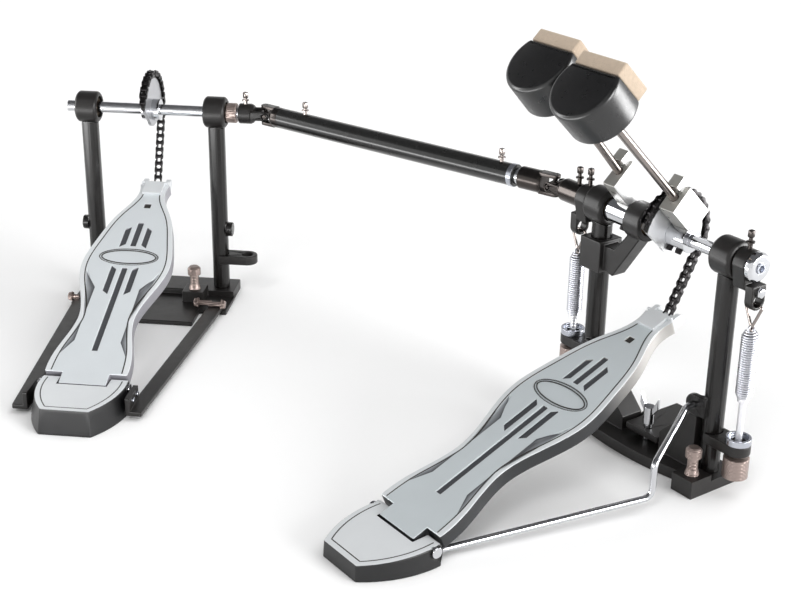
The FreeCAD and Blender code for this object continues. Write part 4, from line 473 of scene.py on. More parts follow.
@dataclass(frozen=True)
class BoardFinish(Finish):
    """Satin silver on a footboard, with a bright rim, dark stripes, painted shade in the scoops, and
    painted shade and reflections on the sides.

    Places on the board are measured in millimetres from its hinge: along it, across it and above it.
    """

    hinge: Triple = (0, 0, 0)
    along: Triple = (0, 1, 0)
    up: Triple = (0, 0, 1)
    across: Triple = (1, 0, 0)
    line: tuple[tuple[float, float], ...] = ((0, 30), (1, 30))
    stripe: str = "#4b4c50"
    # Painted shade on the scoops: dark by the panel's edge and paler out to the groove, in place of the
    # shading of their sloping floors
    scoop_painted_shade_dark: str = "#37373c"
    scoop_painted_shade_pale: str = "#a9adb1"
    rim: str = "#dde0e2"
    # Painted light on the sides: a colour by the heel (painted shade on the near board, a painted
    # reflection on the far one) that turns into a painted reflection by the toe
    heel_side_painted_light: str = "#242527"
    toe_side_painted_light: str = "#c9c6c2"
    stripe_level: float = 6.2
    stripe_reach: float = 13.0
    scoop_inner: float = 19.4
    front_scoop: Triple = (109.0, 132.0, 34.2)
    rear_scoop: Triple = (44.0, 24.0, 29.5)
    painted_heel_side_to: float = 150.0
    painted_toe_side_from: float = 235.0
    # Widths over which one colour turns into the next, and the cosines of a top and a side
    rim_blur: float = 0.4
    stripe_blur: float = 0.5
    level_blur: float = 0.1
    scoop_blur: float = 0.2
    top_facing: float = 0.65
    side_facing: float = 0.35

    def measures(self, tree: Tree, place: Socket) -> dict[str, Socket]:
        """Where a point lies on the board, in millimetres, and which way it faces.

        Args:
            tree: the material's nodes.
            place: object coordinates.

        Returns:
            Sockets by name: along, across, span (across without its sign), above, facing and line (how
            far out the outline groove lies there: the sum of a ramp for each of its stretches).
        """
        start = tuple(value * MM for value in self.hinge)
        local = add_node(tree, "ShaderNodeVectorMath", {"operation": "SUBTRACT"}, {1: start}, {0: place})
        scaled = add_node(
            tree,
            "ShaderNodeVectorMath",
            {"operation": "SCALE"},
            {"Scale": 1 / MM},
            {0: local.outputs["Vector"]},
        )
        offset = scaled.outputs["Vector"]
        normal = add_node(tree, "ShaderNodeTexCoord").outputs["Normal"]
        ways = {
            "above": (offset, self.up),
            "along": (offset, self.along),
            "across": (offset, self.across),
            "facing": (normal, self.up),
        }
        dot = {"operation": "DOT_PRODUCT"}
        measure: dict[str, Socket] = {}
        for name, (vector, way) in ways.items():
            part = add_node(tree, "ShaderNodeVectorMath", dot, {1: way}, {0: vector})
            measure[name] = part.outputs["Value"]
        span = add_node(tree, "ShaderNodeMath", {"operation": "ABSOLUTE"}, links={0: measure["across"]})
        measure["span"] = span.outputs["Value"]
        for (here, half), (there, next_half) in zip(self.line, self.line[1:]):
            limits = {"From Min": here, "From Max": there, "To Max": next_half - half}
            step = add_node(tree, "ShaderNodeMapRange", inputs=limits, links={"Value": measure["along"]})
            links = {0: step.outputs["Result"]}
            if "line" in measure:
                links[1] = measure["line"]
            total = add_node(tree, "ShaderNodeMath", {"operation": "ADD"}, {1: self.line[0][1]}, links)
            measure["line"] = total.outputs["Value"]
        return measure

    def scoops(self, tree: Tree, measure: dict[str, Socket]) -> dict[str, Socket]:
        """Where the scoops lie between the panel's edge and the outline groove.

        The panel's edge is the greater of two ramps, one out to the front and one out to the rear.

        Args:
            tree: the material's nodes.
            measure: the board's measures, which gain how far a point lies inside the groove.

        Returns:
            A mask, and the share of the way from the panel to the groove.
        """
        ramps: list[Socket] = []
        for low, high, reach in (self.front_scoop, self.rear_scoop):
            limits = {"From Min": low, "From Max": high, "To Min": self.scoop_inner, "To Max": reach}
            ramp = add_node(tree, "ShaderNodeMapRange", inputs=limits, links={"Value": measure["along"]})
            ramps.append(ramp.outputs["Result"])
        maths = (
            ("panel_edge", "MAXIMUM", *ramps),
            ("past_panel", "SUBTRACT", measure["span"], "panel_edge"),
            ("inside_line", "SUBTRACT", measure["line"], measure["span"]),
            ("least", "MINIMUM", "past_panel", "inside_line"),
            ("width", "ADD", "past_panel", "inside_line"),
            ("depth", "DIVIDE", "past_panel", "width"),
        )
        for name, operation, *pair in maths:
            links = {key: measure[item] if isinstance(item, str) else item for key, item in enumerate(pair)}
            node = add_node(tree, "ShaderNodeMath", {"operation": operation}, links=links)
            measure[name] = node.outputs["Value"]
        soft = {"From Min": -self.scoop_blur, "From Max": self.scoop_blur}
        mask = add_node(tree, "ShaderNodeMapRange", inputs=soft, links={"Value": measure["least"]})
        return {"scoop": mask.outputs["Result"], "depth": measure["depth"]}

    def paint(self, tree: Tree, place: Socket) -> Socket:
        """Silver on top; rim, stripes, painted shade of the scoops and painted light on the sides by place,
        height and direction.

        Args:
            tree: the material's nodes.
            place: object coordinates.

        Returns:
            A colour socket.
        """
        measure = self.measures(tree, place)
        share = self.scoops(tree, measure)
        level = self.stripe_level
        ramps = {
            "outer": ("inside_line", self.rim_blur, -self.rim_blur),
            "stripes": ("span", self.stripe_reach, self.stripe_reach - self.stripe_blur),
            "low": ("above", level + self.level_blur, level - self.level_blur),
            "toe_side_light_share": ("along", self.painted_heel_side_to, self.painted_toe_side_from),
            "side": ("facing", self.top_facing, self.side_facing),
        }
        for name, (value, low, high) in ramps.items():
            limits = {"From Min": low, "From Max": high}
            smooth = {"interpolation_type": "SMOOTHSTEP"}
            ramp = add_node(tree, "ShaderNodeMapRange", smooth, limits, {"Value": measure[value]})
            share[name] = ramp.outputs["Result"]
        dark, light = linear(self.scoop_painted_shade_dark), linear(self.scoop_painted_shade_pale)
        mixes = (
            ("panel", "outer", "silver", linear(self.rim)),
            # painted shade on the scoop floors, from dark by the panel to pale at the groove
            ("shade", "depth", dark, light),
            ("top", "scoop", "panel", "shade"),
            ("striped", "stripes", "top", linear(self.stripe)),
            ("cut", "low", "top", "striped"),
            # painted light on the sides, from the heel's colour to the toe's along the board
            ("wall", "toe_side_light_share", linear(self.heel_side_painted_light), linear(self.toe_side_painted_light)),
            ("board", "side", "cut", "wall"),
        )
        colour: dict[str, Socket] = {"silver": super().paint(tree, place)}
        for name, factor, *pair in mixes:
            mix = add_node(tree, "ShaderNodeMix", {"data_type": "RGBA"}, links={"Factor": share[factor]})
            for key, source in zip(("A", "B"), pair):
                if isinstance(source, str):
                    tree.links.new(colour[source], mix.inputs[key])
                else:
                    mix.inputs[key].default_value = source
            colour[name] = mix.outputs["Result"]
        return colour["board"]


@dataclass(frozen=True)
class TwoToneFinish(Finish):
    """Two colours: the finish's own, and another beyond a limit of one measure.

    The limits are in the measure's unit: metres, or a cosine.
    """

    other: str = "#1a1a1b"
    own_to: float = 0.0
    other_from: float = 1.0

    def measured(self, tree: Tree, place: Socket) -> Socket:
        """The measure that tells the colours apart: the height."""
        return add_node(tree, "ShaderNodeSeparateXYZ", links={"Vector": place}).outputs["Z"]

    def paint(self, tree: Tree, place: Socket) -> Socket:
        """The finish's own colour, which gives way to the other between the two limits.

        Args:
            tree: the material's nodes.
            place: object coordinates.

        Returns:
            A colour socket.
        """
        limits = {"From Min": self.own_to, "From Max": self.other_from}
        links = {"Value": self.measured(tree, place)}
        share = add_node(tree, "ShaderNodeMapRange", inputs=limits, links=links)
        links = {"Factor": share.outputs["Result"], "A": super().paint(tree, place)}
        mix = add_node(tree, "ShaderNodeMix", {"data_type": "RGBA"}, {"B": linear(self.other)}, links)
        return mix.outputs["Result"]


@dataclass(frozen=True)
class FacedFinish(TwoToneFinish):
    """One colour on the faces that look one way, another on the rest."""

    own_to: float = 0.85
    other_from: float = 0.7
    facing: Triple = (0, 0, 1)

    def measured(self, tree: Tree, place: Socket) -> Socket:
        """The cosine of the angle between the surface's normal and that way."""
        normal = add_node(tree, "ShaderNodeTexCoord").outputs["Normal"]
        dot = {"operation": "DOT_PRODUCT"}
        return add_node(tree, "ShaderNodeVectorMath", dot, {1: self.facing}, {0: normal}).outputs["Value"]


@dataclass(frozen=True)
class KnurledFinish(Finish):
    """A knurled grip: two sets of fine ridges that cross on the diagonal."""

    ridge_mm: float = 1.4

    def relief(self, tree: Tree, place: Socket) -> Socket:
        """Height of crossed ridges: the product of two waves at right angles."""
        waves = []
        for tilt in (math.radians(45), math.radians(-45)):
            turn = {"Rotation": (tilt, tilt, 0)}
            tilted = add_node(tree, "ShaderNodeMapping", inputs=turn, links={"Vector": place})
            wave = add_node(
                tree,
                "ShaderNodeTexWave",
                {"bands_direction": "Z"},
                {"Scale": WAVES / (self.ridge_mm * MM)},
                {"Vector": tilted.outputs["Vector"]},
            )
            waves.append(wave.outputs["Fac"])
        product = add_node(tree, "ShaderNodeMath", {"operation": "MULTIPLY"}, links=dict(enumerate(waves)))
        return product.outputs["Value"]


@dataclass(frozen=True)
class ThreadedFinish(TwoToneFinish, KnurledFinish):
    """A spring adjuster: a warm grey knurled nut below, a bright rod above."""

    other: str = "#eeeef2"


@dataclass(frozen=True)
class BrushedFinish(Finish):
    """A metal worked one way: grain drawn out along one direction."""

    drawn: Triple = (0.07, 1.0, 1.0)

    def relief(self, tree: Tree, place: Socket) -> Socket:
        """Noise drawn out along one direction, so that it reads as lines."""
        drawn = add_node(tree, "ShaderNodeMapping", inputs={"Scale": self.drawn}, links={"Vector": place})
        grain = {"Scale": 1 / (self.grain_mm * MM), "Detail": 4}
        links = {"Vector": drawn.outputs["Vector"]}
        return add_node(tree, "ShaderNodeTexNoise", inputs=grain, links=links).outputs["Fac"]


@dataclass(frozen=True)
class SprocketFinish(TwoToneFinish, BrushedFinish):
    """Brushed aluminium on a sprocket's face, with painted shade on its teeth where the chain wraps them.
    """

    # Painted shade on the teeth under the chain: dark beyond a distance from the axle
    other: str = "#1d1b1a"
    own_to: float = 27.6 * MM
    other_from: float = 28.6 * MM
    axle: Triple = (0, 0, 0)
    across: Triple = (1, 0, 0)

    def measured(self, tree: Tree, place: Socket) -> Socket:
        """The distance from the axle: the length of the cross product with its direction."""
        start = tuple(value * MM for value in self.axle)
        vector = place
        for operation, other in (("SUBTRACT", start), ("CROSS_PRODUCT", self.across)):
            node = add_node(tree, "ShaderNodeVectorMath", {"operation": operation}, {1: other}, {0: vector})
            vector = node.outputs["Vector"]
        length = {"operation": "LENGTH"}
        return add_node(tree, "ShaderNodeVectorMath", length, links={0: vector}).outputs["Value"]


class Metal(Enum):
    """Plain finishes, each named for the material it stands for."""

    # Epoxy powder coat on zinc castings: fine orange peel, soft highlights
    COATED = Finish("satin_epoxy_coat", "#1d1b1a", 0.0, 0.38, 0.4, grain_mm=1.1, grain_depth_mm=0.025)
    # Black coat on the drawn posts: long soft streaks from top to bottom
    DRAWN_POST = BrushedFinish(
        "coated_drawn_post",
        "#141211",
        0.0,
        0.24,
        0.45,
        grain_mm=7,
        grain_depth_mm=1.6,
        gloss_drift=0.05,
        drawn=(1.0, 1.0, 0.02),
    )
    # Satin nickel on the beater clamps and their bolts: near white on the faces that look along +X, a
    # painted reflection of the lamps at the right, grey on the other faces
    NICKEL_PAINTED_REFLECTION = FacedFinish(
        "satin_nickel_painted_reflection",
        "#fbfbfb",
        0.45,
        0.3,
        grain_mm=0.9,
        grain_depth_mm=0.01,
        other="#a8a7a2",
        facing=(1, 0, 0),
    )
    # Nickel-chrome plate on turned steel: mirror bright with faint hazing
    PLATED = Finish(
        "chrome_plated_steel", "#cfd0d3", 1.0, 0.1, gloss_drift=0.04, grain_mm=6, grain_depth_mm=0.01
    )
    # Drawn nickel-plated steel of the rods, spring links and tube screws: darker and warmer than chrome
    DRAWN = Finish(
        "drawn_nickel_rod", "#958d89", 1.0, 0.16, gloss_drift=0.04, grain_mm=5, grain_depth_mm=0.01
    )
    # Zinc plate on small steel parts: greyer and duller than chrome
    ZINC = Finish("zinc_plated_steel", "#b9bcc4", 1.0, 0.24, grain_mm=1.2, grain_depth_mm=0.015)
    # Hard-drawn wire of the return springs
    SPRING = Finish("hard_drawn_wire", "#cfd0d6", 1.0, 0.28, grain_mm=1.0, grain_depth_mm=0.015)
    # Black oxide on the chain: dark, slightly oily
    OXIDE = Finish("black_oxide_steel", "#262425", 0.8, 0.3, grain_mm=0.7, grain_depth_mm=0.02)
    # Oil-blackened steel of the joint yokes and clamp screws: dark with sharp streaks of light
    BLACKENED = Finish("oil_blackened_steel", "#45413f", 1.0, 0.24, grain_mm=0.8, grain_depth_mm=0.012)
    # Knurled, darkened nickel of the spur bolts, strap bolts and axle sleeve, warm grey
    KNURLED = KnurledFinish("knurled_nickel_steel", "#9a8b85", 0.85, 0.34, grain_depth_mm=0.25)
    # Oil-soaked bronze of the bushes, seen only as thin dark rings
    BRONZE = Finish("bearing_bronze", "#4f4334", 1.0, 0.4)
    # Gloss black lacquer on the shaft's tube, with a clear coat
    LACQUER = Finish("gloss_black_lacquer", "#1b1b1a", 0.0, 0.25, 0.4, 0.5, grain_mm=9, grain_depth_mm=0.01)
    # Moulded gloss nylon of the beater heads: fine mould texture
    NYLON = Finish(
        "moulded_black_nylon", "#0f0f10", 0.0, 0.3, 0.7, grain_mm=0.6, grain_depth_mm=0.008, tone_mm=12
    )
    # Pressed wool felt: fibres, sheen, uneven tone
    FELT = Finish(
        "pressed_wool_felt",
        "#c2b09c",
        0.0,
        0.95,
        0.2,
        sheen=0.3,
        grain_mm=0.9,
        grain_depth_mm=0.4,
        tone_mm=3,
    )
    # Dark enamel in the outline grooves of boards and heels
    ENAMEL = Finish("dark_groove_enamel", "#2e2b28", 0.0, 0.45, grain_mm=0.8)
    # Satin silver paint on the toe clips
    SILVER = Finish(
        "satin_silver_paint", "#dfe2e4", 0.2, 0.36, grain_mm=0.5, grain_depth_mm=0.012, tone=0.04
    )


class Finishes:
    """The scene's materials, each built once."""

    def __init__(self) -> None:
        """Start with none built."""
        self.made: dict[str, bpy.types.Material] = {}

    def of(self, finish: "Metal | Finish") -> bpy.types.Material:
        """The material of a finish, built at its first use.

        Args:
            finish: one of the plain finishes, or a finish of its own.

        Returns:
            The material.
        """
        wanted = finish.value if isinstance(finish, Metal) else finish
        if wanted.name not in self.made:
            self.made[wanted.name] = wanted.build()
        return self.made[wanted.name]


FINISHES = Finishes()


# Pieces


def make_piece(
    name: str, surface: Surface, finish: "Metal | Finish", body: str | None
) -> bpy.types.Object:
    """Make a Blender object from a surface in millimetres.

    Args:
        name: the piece's name.
        surface: its points and faces.
        finish: its finish.
        body: the body that it rides on, or None for none.

    Returns:
        The object, at the origin with its place in its mesh.
    """
    mesh = bpy.data.meshes.new(name)
    faces = [tuple(face) for block in surface.faces for face in block.tolist()]
    mesh.from_pydata((surface.points * MM).tolist(), [], faces)
    work = bmesh.new()
    work.from_mesh(mesh)
    bmesh.ops.remove_doubles(work, verts=work.verts, dist=SAME_POINT / 10)
    bmesh.ops.recalc_face_normals(work, faces=work.faces)
    work.to_mesh(mesh)
    work.free()
    mesh.shade_smooth()
    mesh.set_sharp_from_angle(angle=SHARP_FROM)
    mesh.materials.append(FINISHES.of(finish))
    piece = bpy.data.objects.new(name, mesh)
    bpy.context.scene.collection.objects.link(piece)
    if body:
        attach(piece, body)
    log.info("piece %s: %d points, on %s", name, len(mesh.vertices), body)
    return piece


packed_nodes: dict[str, bpy.types.Object] = {}


def dress_node(node: str, finish: "Metal | Finish", edge: float) -> None:
    """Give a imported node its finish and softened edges.

    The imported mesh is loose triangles, so its modifiers first join them, then round the sharp edges and
    weight the normals by area, which keeps flat faces flat.

    Args:
        node: the node's name.
        finish: its finish.
        edge: width of the rounded edges, or 0 for none.
    """
    piece = packed_nodes[node]
    piece.data.materials.clear()
    piece.data.materials.append(FINISHES.of(finish))
    piece.data.shade_smooth()
    weld = piece.modifiers.new("join", "WELD")
    weld.merge_threshold = SAME_POINT
    if edge:
        bevel = piece.modifiers.new("edges", "BEVEL")
        bevel.width = edge * MM
        bevel.segments = 2
        bevel.limit_method = "ANGLE"
        bevel.angle_limit = BEVEL_FROM
        bevel.use_clamp_overlap = False
    normals = piece.modifiers.new("normals", "WEIGHTED_NORMAL")
    normals.weight = FLAT_WEIGHT
    log.info("node %s: %s", node, FINISHES.of(finish).name)


def inlay(middle: Array, width: float, closed: bool, turn: Array, origin: Array) -> Surface:
    """A thin strip let into a flat face, its low rounded top just proud of it.

    Each point of the centre line gives four points across, at shares of the width and small heights.

    Args:
        middle: points (across, along) of its centre line on the face.
        width: its width.
        closed: join its ends.
        turn: the face's axes (across, along, up) as columns.
        origin: the face's own origin in the frame.

    Returns:
        The strip in the frame.
    """
    ahead = np.gradient(middle, axis=0)
    if closed:
        ahead = np.roll(middle, -1, axis=0) - np.roll(middle, 1, axis=0)
    ahead = unit(ahead)
    side = np.stack([-ahead[:, 1], ahead[:, 0]], axis=-1)
    shares = ((-0.5, -0.3), (-0.42, 0.06), (0.42, 0.06), (0.5, -0.3))
    ones = np.ones(len(middle))
    strips = [np.column_stack([middle + side * width * share, ones * rise]) for share, rise in shares]
    points = np.stack(strips, axis=1).reshape(-1, 3)
    strip = capped(points, len(middle))
    if closed:
        strip.faces = [grid_faces(len(middle), len(shares), round_rows=True, round_columns=True)]
    return strip.moved(turn, origin)


@dataclass(frozen=True)
class PedalFrame:
    """Where one pedal stands: its axle, hinge, heel plate and turn about the upright."""

    name: str
    foot: Triple
    turn: float
    hinge_back: float
    hinge_height: float
    tilt: float
    heel_low: float
    heel_high: float
    axle_height: float = 177.5

    def spin(self) -> Array:
        """Turn of the pedal about the upright."""
        return turn_about((0, 0, 1), self.turn)

    def at(self, x: float, y: float, z: float) -> Triple:
        """Carry a point of the pedal's own axes to the frame."""
        return tuple(float(value) for value in np.array(self.foot) + self.spin() @ np.array([x, y, z]))

    def board_turn(self) -> Array:
        """Turn from the board's own axes (across, along, up) to the frame's."""
        return self.spin() @ turn_about((1, 0, 0), self.tilt)

    def hinge(self) -> Array:
        """Middle of the footboard's hinge."""
        return np.array(self.at(0, -self.hinge_back, self.hinge_height))

    def axle(self) -> Array:
        """Point of the axle in the middle plane of the footboard."""
        return np.array(self.at(0, 0, self.axle_height))


PRIMARY = PedalFrame(
    "primary",
    foot=(0, 0, 0),
    turn=0,
    hinge_back=237.1,
    hinge_height=12.5,
    tilt=22.2,
    heel_low=12.6,
    heel_high=17.0,
)
SECONDARY = PedalFrame(
    "secondary",
    foot=(-491.4, -163.4, 0),
    turn=47.5,
    hinge_back=237.4,
    hinge_height=15.9,
    tilt=19.6,
    heel_low=20.5,
    heel_high=21.0,
)


@dataclass
class Footboard:
    """A footboard's finish, its outline groove, the double ring round its bare oval and its dark window."""

    frame: PedalFrame
    shoulder: float = 7.5
    top: float = 7.0
    stations: tuple[tuple[float, float], ...] = (
        (0, 34),
        (25, 32),
        (66, 24),
        (98, 31.5),
        (130, 39),
        (165, 34),
        (200, 24),
        (229, 12.5),
        (244, 14),
    )
    line_inset: float = 4.8
    line_width: float = 1.2
    line_from: float = 1.0
    line_to: float = 236.0
    line_steps: int = 160
    window_at: float = 213.0
    window_half: float = 2.95
    window_corner: float = 0.3
    plug_low: float = -2.8
    plug_high: float = -1.0
    plug_rim: float = 0.2
    oval_steps: int = 72
    oval_at: float = 142.5
    oval_half_across: float = 26.0
    oval_half_along: float = 10.5
    ring_width: float = 0.9
    ring_insets: tuple[float, ...] = (0.0, 2.1)

    def finish(self) -> BoardFinish:
        """The board's finish, set to its own hinge and directions."""
        across, along, up = self.frame.board_turn().T
        near = self.frame is PRIMARY
        return BoardFinish(
            f"satin_silver_casting_{self.frame.name}",
            # Painted light: the near board's silver is set darker than the far one's, a shaded and a lit
            # copy of the same paint
            "#c9d0d3" if near else "#d4d9dc",
            0.2,
            0.4,
            grain_mm=0.5,
            grain_depth_mm=0.012,
            tone=0.04,
            hinge=tuple(self.frame.hinge()),
            along=tuple(along),
            up=tuple(up),
            across=tuple(across),
            line=tuple((at + self.shoulder, half - self.line_inset) for at, half in self.stations),
            # Painted light on the sides: painted shade by the near board's heel, painted reflections on the
            # rest
            heel_side_painted_light="#242527" if near else "#8b8a90",
            toe_side_painted_light="#c9c6c2" if near else "#a5a4aa",
        )

    def edge_line(self, side: int) -> Array:
        """Centre line of the outline groove on one side of the board."""
        knots = np.array([(half - self.line_inset, at) for at, half in self.stations])
        curve = smooth_curve(knots, self.line_steps)
        kept = curve[(curve[:, 1] > self.line_from) & (curve[:, 1] < self.line_to)]
        return np.stack([kept[:, 0] * side, kept[:, 1] + self.shoulder], axis=-1)

    def build(self) -> None:
        """Dress the board and add its outline groove, oval rings and window."""
        name = self.frame.name
        dress_node(f"{name}_footboard", self.finish(), edge=0.7)
        turn = self.frame.board_turn()
        origin = self.frame.hinge() + turn @ np.array([0, 0, self.top])
        lines = [inlay(self.edge_line(side), self.line_width, False, turn, origin) for side in (-1, 1)]
        angle = np.arange(self.oval_steps) * TAU / self.oval_steps
        circle = on_circle(angle)
        for inset in self.ring_insets:
            oval = circle * [self.oval_half_across - inset, self.oval_half_along - inset]
            oval[:, 1] += self.shoulder + self.oval_at
            lines.append(inlay(oval, self.ring_width, True, turn, origin))
        plug = prism(
            oblong(self.window_half, self.window_half, self.window_corner, steps=3),
            rounded_layers(self.plug_low, self.plug_high, self.plug_rim),
        )
        lines.append(plug.moved(turn, origin + turn @ np.array([0, self.shoulder + self.window_at, 0])))
        body = f"{name}_footboard"
        make_piece(f"{name}_board_lines", joined(lines), Metal.ENAMEL, body)
        dress_node(f"{name}_toe_clip", Metal.SILVER, edge=0.5)


@dataclass
class HeelPlate:
    """A heel plate's two-tone finish and the line let into its top."""

    frame: PedalFrame
    rear: float = 290.0
    front_ahead: float = 4.6
    front_half: float = 35.0
    swell: float = 31.0
    swell_at: float = 268.0
    rear_half: float = 19.0
    line_inset: float = 4.6
    line_width: float = 1.1
    line_front: float = 3.0
    arc_steps: int = 40
    rear_steps: int = 14

    def line(self) -> Array:
        """The inlaid line in plan: two arcs and the straight rear, all moved in from the edge.

        Each arc's circle passes the plate's front corner, its swell and its rear corner. Its centre
        solves the two equations that say it is as far from the first as from each of the others.
        """
        front = self.front_ahead - self.frame.hinge_back
        corners = np.array(
            [[self.front_half, front], [self.swell, -self.swell_at], [self.rear_half, -self.rear]]
        )
        chords = 2 * (corners[1:] - corners[0])
        squares = np.sum(corners[1:] ** 2, axis=1) - np.sum(corners[0] ** 2)
        centre = np.linalg.solve(chords, squares)
        radius = float(np.linalg.norm(corners[0] - centre)) - self.line_inset
        ends = np.array([front - self.line_front, self.line_inset - self.rear])
        high, low = np.arcsin((ends - centre[1]) / radius)
        angle = np.linspace(high, low, self.arc_steps)
        arc = centre + radius * on_circle(angle)
        mirrored = arc[::-1] * np.array([-1, 1])
        share = np.linspace(0, 1, self.rear_steps)[1:-1, None]
        rear = arc[-1] + (mirrored[0] - arc[-1]) * share
        return np.concatenate([arc, rear, mirrored])

    def build(self) -> None:
        """Dress the plate and let the line into its sloping top."""
        name = self.frame.name
        # Two-tone paint, silver top and black skirt; the silver is set lighter than the footboards' silver
        # of the same paint, painted light for the top's flatter angle to the lamps
        finish = FacedFinish(
            "silver_and_black_heel", "#dbdee0", 0.2, 0.38, grain_mm=0.5, grain_depth_mm=0.012, tone=0.04
        )
        dress_node(f"{name}_heel_plate", finish, edge=0.9)
        front = self.front_ahead - self.frame.hinge_back
        rise = self.frame.heel_high - self.frame.heel_low
        slope = math.degrees(math.atan2(rise, front + self.rear))
        turn = self.frame.spin() @ turn_about((1, 0, 0), slope)
        origin = np.array(self.frame.at(0, front, self.frame.heel_high))
        flat = self.line()
        flat[:, 1] = (flat[:, 1] - front) / math.cos(math.radians(slope))
        strip = inlay(flat, self.line_width, False, turn, origin)
        make_piece(f"{name}_heel_line", strip, Metal.ENAMEL, f"{name}_frame")


@dataclass
class RollerChain:
    """A roller chain from the toe pin up and round the sprocket."""

    frame: PedalFrame
    pitch: float = 6.35
    teeth: int = 32
    toe_along: float = 259.0
    toe_above: float = 2.0
    anchor: float = 156.0
    peel: int = 6
    plate_half: float = 2.7
    waist: float = 0.75
    plate: float = 0.75
    inner_half: float = 1.65
    plate_gap: float = 0.05
    plate_edge: float = 0.15
    plate_steps: int = 9
    roller: float = 1.65
    roller_sides: int = 16
    pin_head: float = 1.25
    pin_rise: float = 0.3
    crown_rise: float = 0.5
    crown_share: float = 0.6
    pin_sides: int = 14

    def centres(self) -> tuple[Array, int]:
        """Roller centres (forward, up) about the axle, and how many lie on the straight run.

        The run leaves the sprocket at a tangent. From there the rollers lie on the pitch circle.
        """
        frame = self.frame
        radius = self.pitch / (2 * math.sin(math.pi / self.teeth))
        tilt = math.radians(frame.tilt)
        forward = -frame.hinge_back + self.toe_along * math.cos(tilt) - self.toe_above * math.sin(tilt)
        up = frame.hinge_height + self.toe_along * math.sin(tilt) + self.toe_above * math.cos(tilt)
        toe = np.array([forward, up - frame.axle_height])
        reach = float(np.linalg.norm(toe))
        tangent = math.atan2(toe[1], toe[0]) + math.acos(radius / reach)
        run = math.sqrt(reach**2 - radius**2)
        top = radius * np.array([math.cos(tangent), math.sin(tangent)])
        steps = int(run / self.pitch)
        share = (np.arange(steps + 1) * self.pitch / run)[:, None]
        straight = toe + (top - toe) * share
        start = tangent + (self.pitch * (steps + 1) - run) / radius
        angle = np.arange(start, math.radians(self.anchor), TAU / self.teeth)
        wrapped = radius * on_circle(angle)
        return np.concatenate([straight, wrapped]), steps + 1

    def plate_outline(self) -> Array:
        """A waisted link plate along X: two half circles, with sides that dip by a squared cosine."""
        angle = np.linspace(-math.pi / 2, math.pi / 2, self.plate_steps)
        cap = self.plate_half * on_circle(angle)
        along = np.linspace(0.5, -0.5, self.plate_steps)[1:-1]
        dip = self.plate_half - self.waist * np.cos(math.pi * along) ** 2
        side = np.stack([along * self.pitch, dip], axis=-1)
        return np.concatenate([cap + [self.pitch / 2, 0], side, -cap - [self.pitch / 2, 0], -side])

    def link(self, inner: bool) -> Surface:
        """One link along X, with its rollers or its pin heads."""
        near = self.inner_half + (0 if inner else self.plate + self.plate_gap)
        pieces = [
            prism(self.plate_outline(), rounded_layers(low, low + self.plate, self.plate_edge))
            for low in (near, -near - self.plate)
        ]
        half = self.pitch / 2
        reach = near if inner else near + self.plate
        if inner:
            fittings = [turned([(-reach, self.roller), (reach, self.roller)], self.roller_sides)]
        else:
            head = [(reach + rise, self.pin_head) for rise in (-self.pin_rise, self.pin_rise)]
            head.append((reach + self.crown_rise, self.pin_head * self.crown_share))
            button = turned(head, self.pin_sides)
            fittings = [button, button.moved(np.diag([1, -1, -1]), (0, 0, 0))]
        pieces.extend(fitting.moved(IN_PLACE, (end, 0, 0)) for end in (-half, half) for fitting in fittings)
        return joined(pieces)

    def links(self, first: int, last: int, centres: Array) -> Surface:
        """The links from one roller to another, in the frame."""
        spin, axle = self.frame.spin(), self.frame.axle()
        models = {True: self.link(True), False: self.link(False)}
        made = []
        for index in range(first, last):
            start, end = centres[index], centres[index + 1]
            way = (end - start) / np.linalg.norm(end - start)
            along = np.array([0, way[0], way[1]])
            across = np.array([0, -way[1], way[0]])
            turn = np.stack([along, across, np.array([1.0, 0, 0])], axis=1)
            middle = (start + end) / 2
            placed = models[index % 2 == 1].moved(turn, (0, middle[0], middle[1]))
            made.append(placed.moved(spin, axle))
        return joined(made)

    def build(self) -> None:
        """Make the free run, which rides on no body, and the links that stay on the sprocket."""
        name = self.frame.name
        centres, on_run = self.centres()
        boundary = on_run + self.peel
        boundary += boundary % 2
        count = len(centres) - 1
        run = make_piece(
            f"{name}_chain_free_run", self.links(0, boundary + 1, centres), Metal.OXIDE, None
        )
        wrap = make_piece(
            f"{name}_chain_on_sprocket",
            self.links(boundary + 1, count, centres),
            Metal.OXIDE,
            f"{name}_axle",
        )
        spin, axle = self.frame.spin(), self.frame.axle()
        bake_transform(run)
        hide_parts(f"{name}_chain_run")
        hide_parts(f"{name}_chain_wrap")


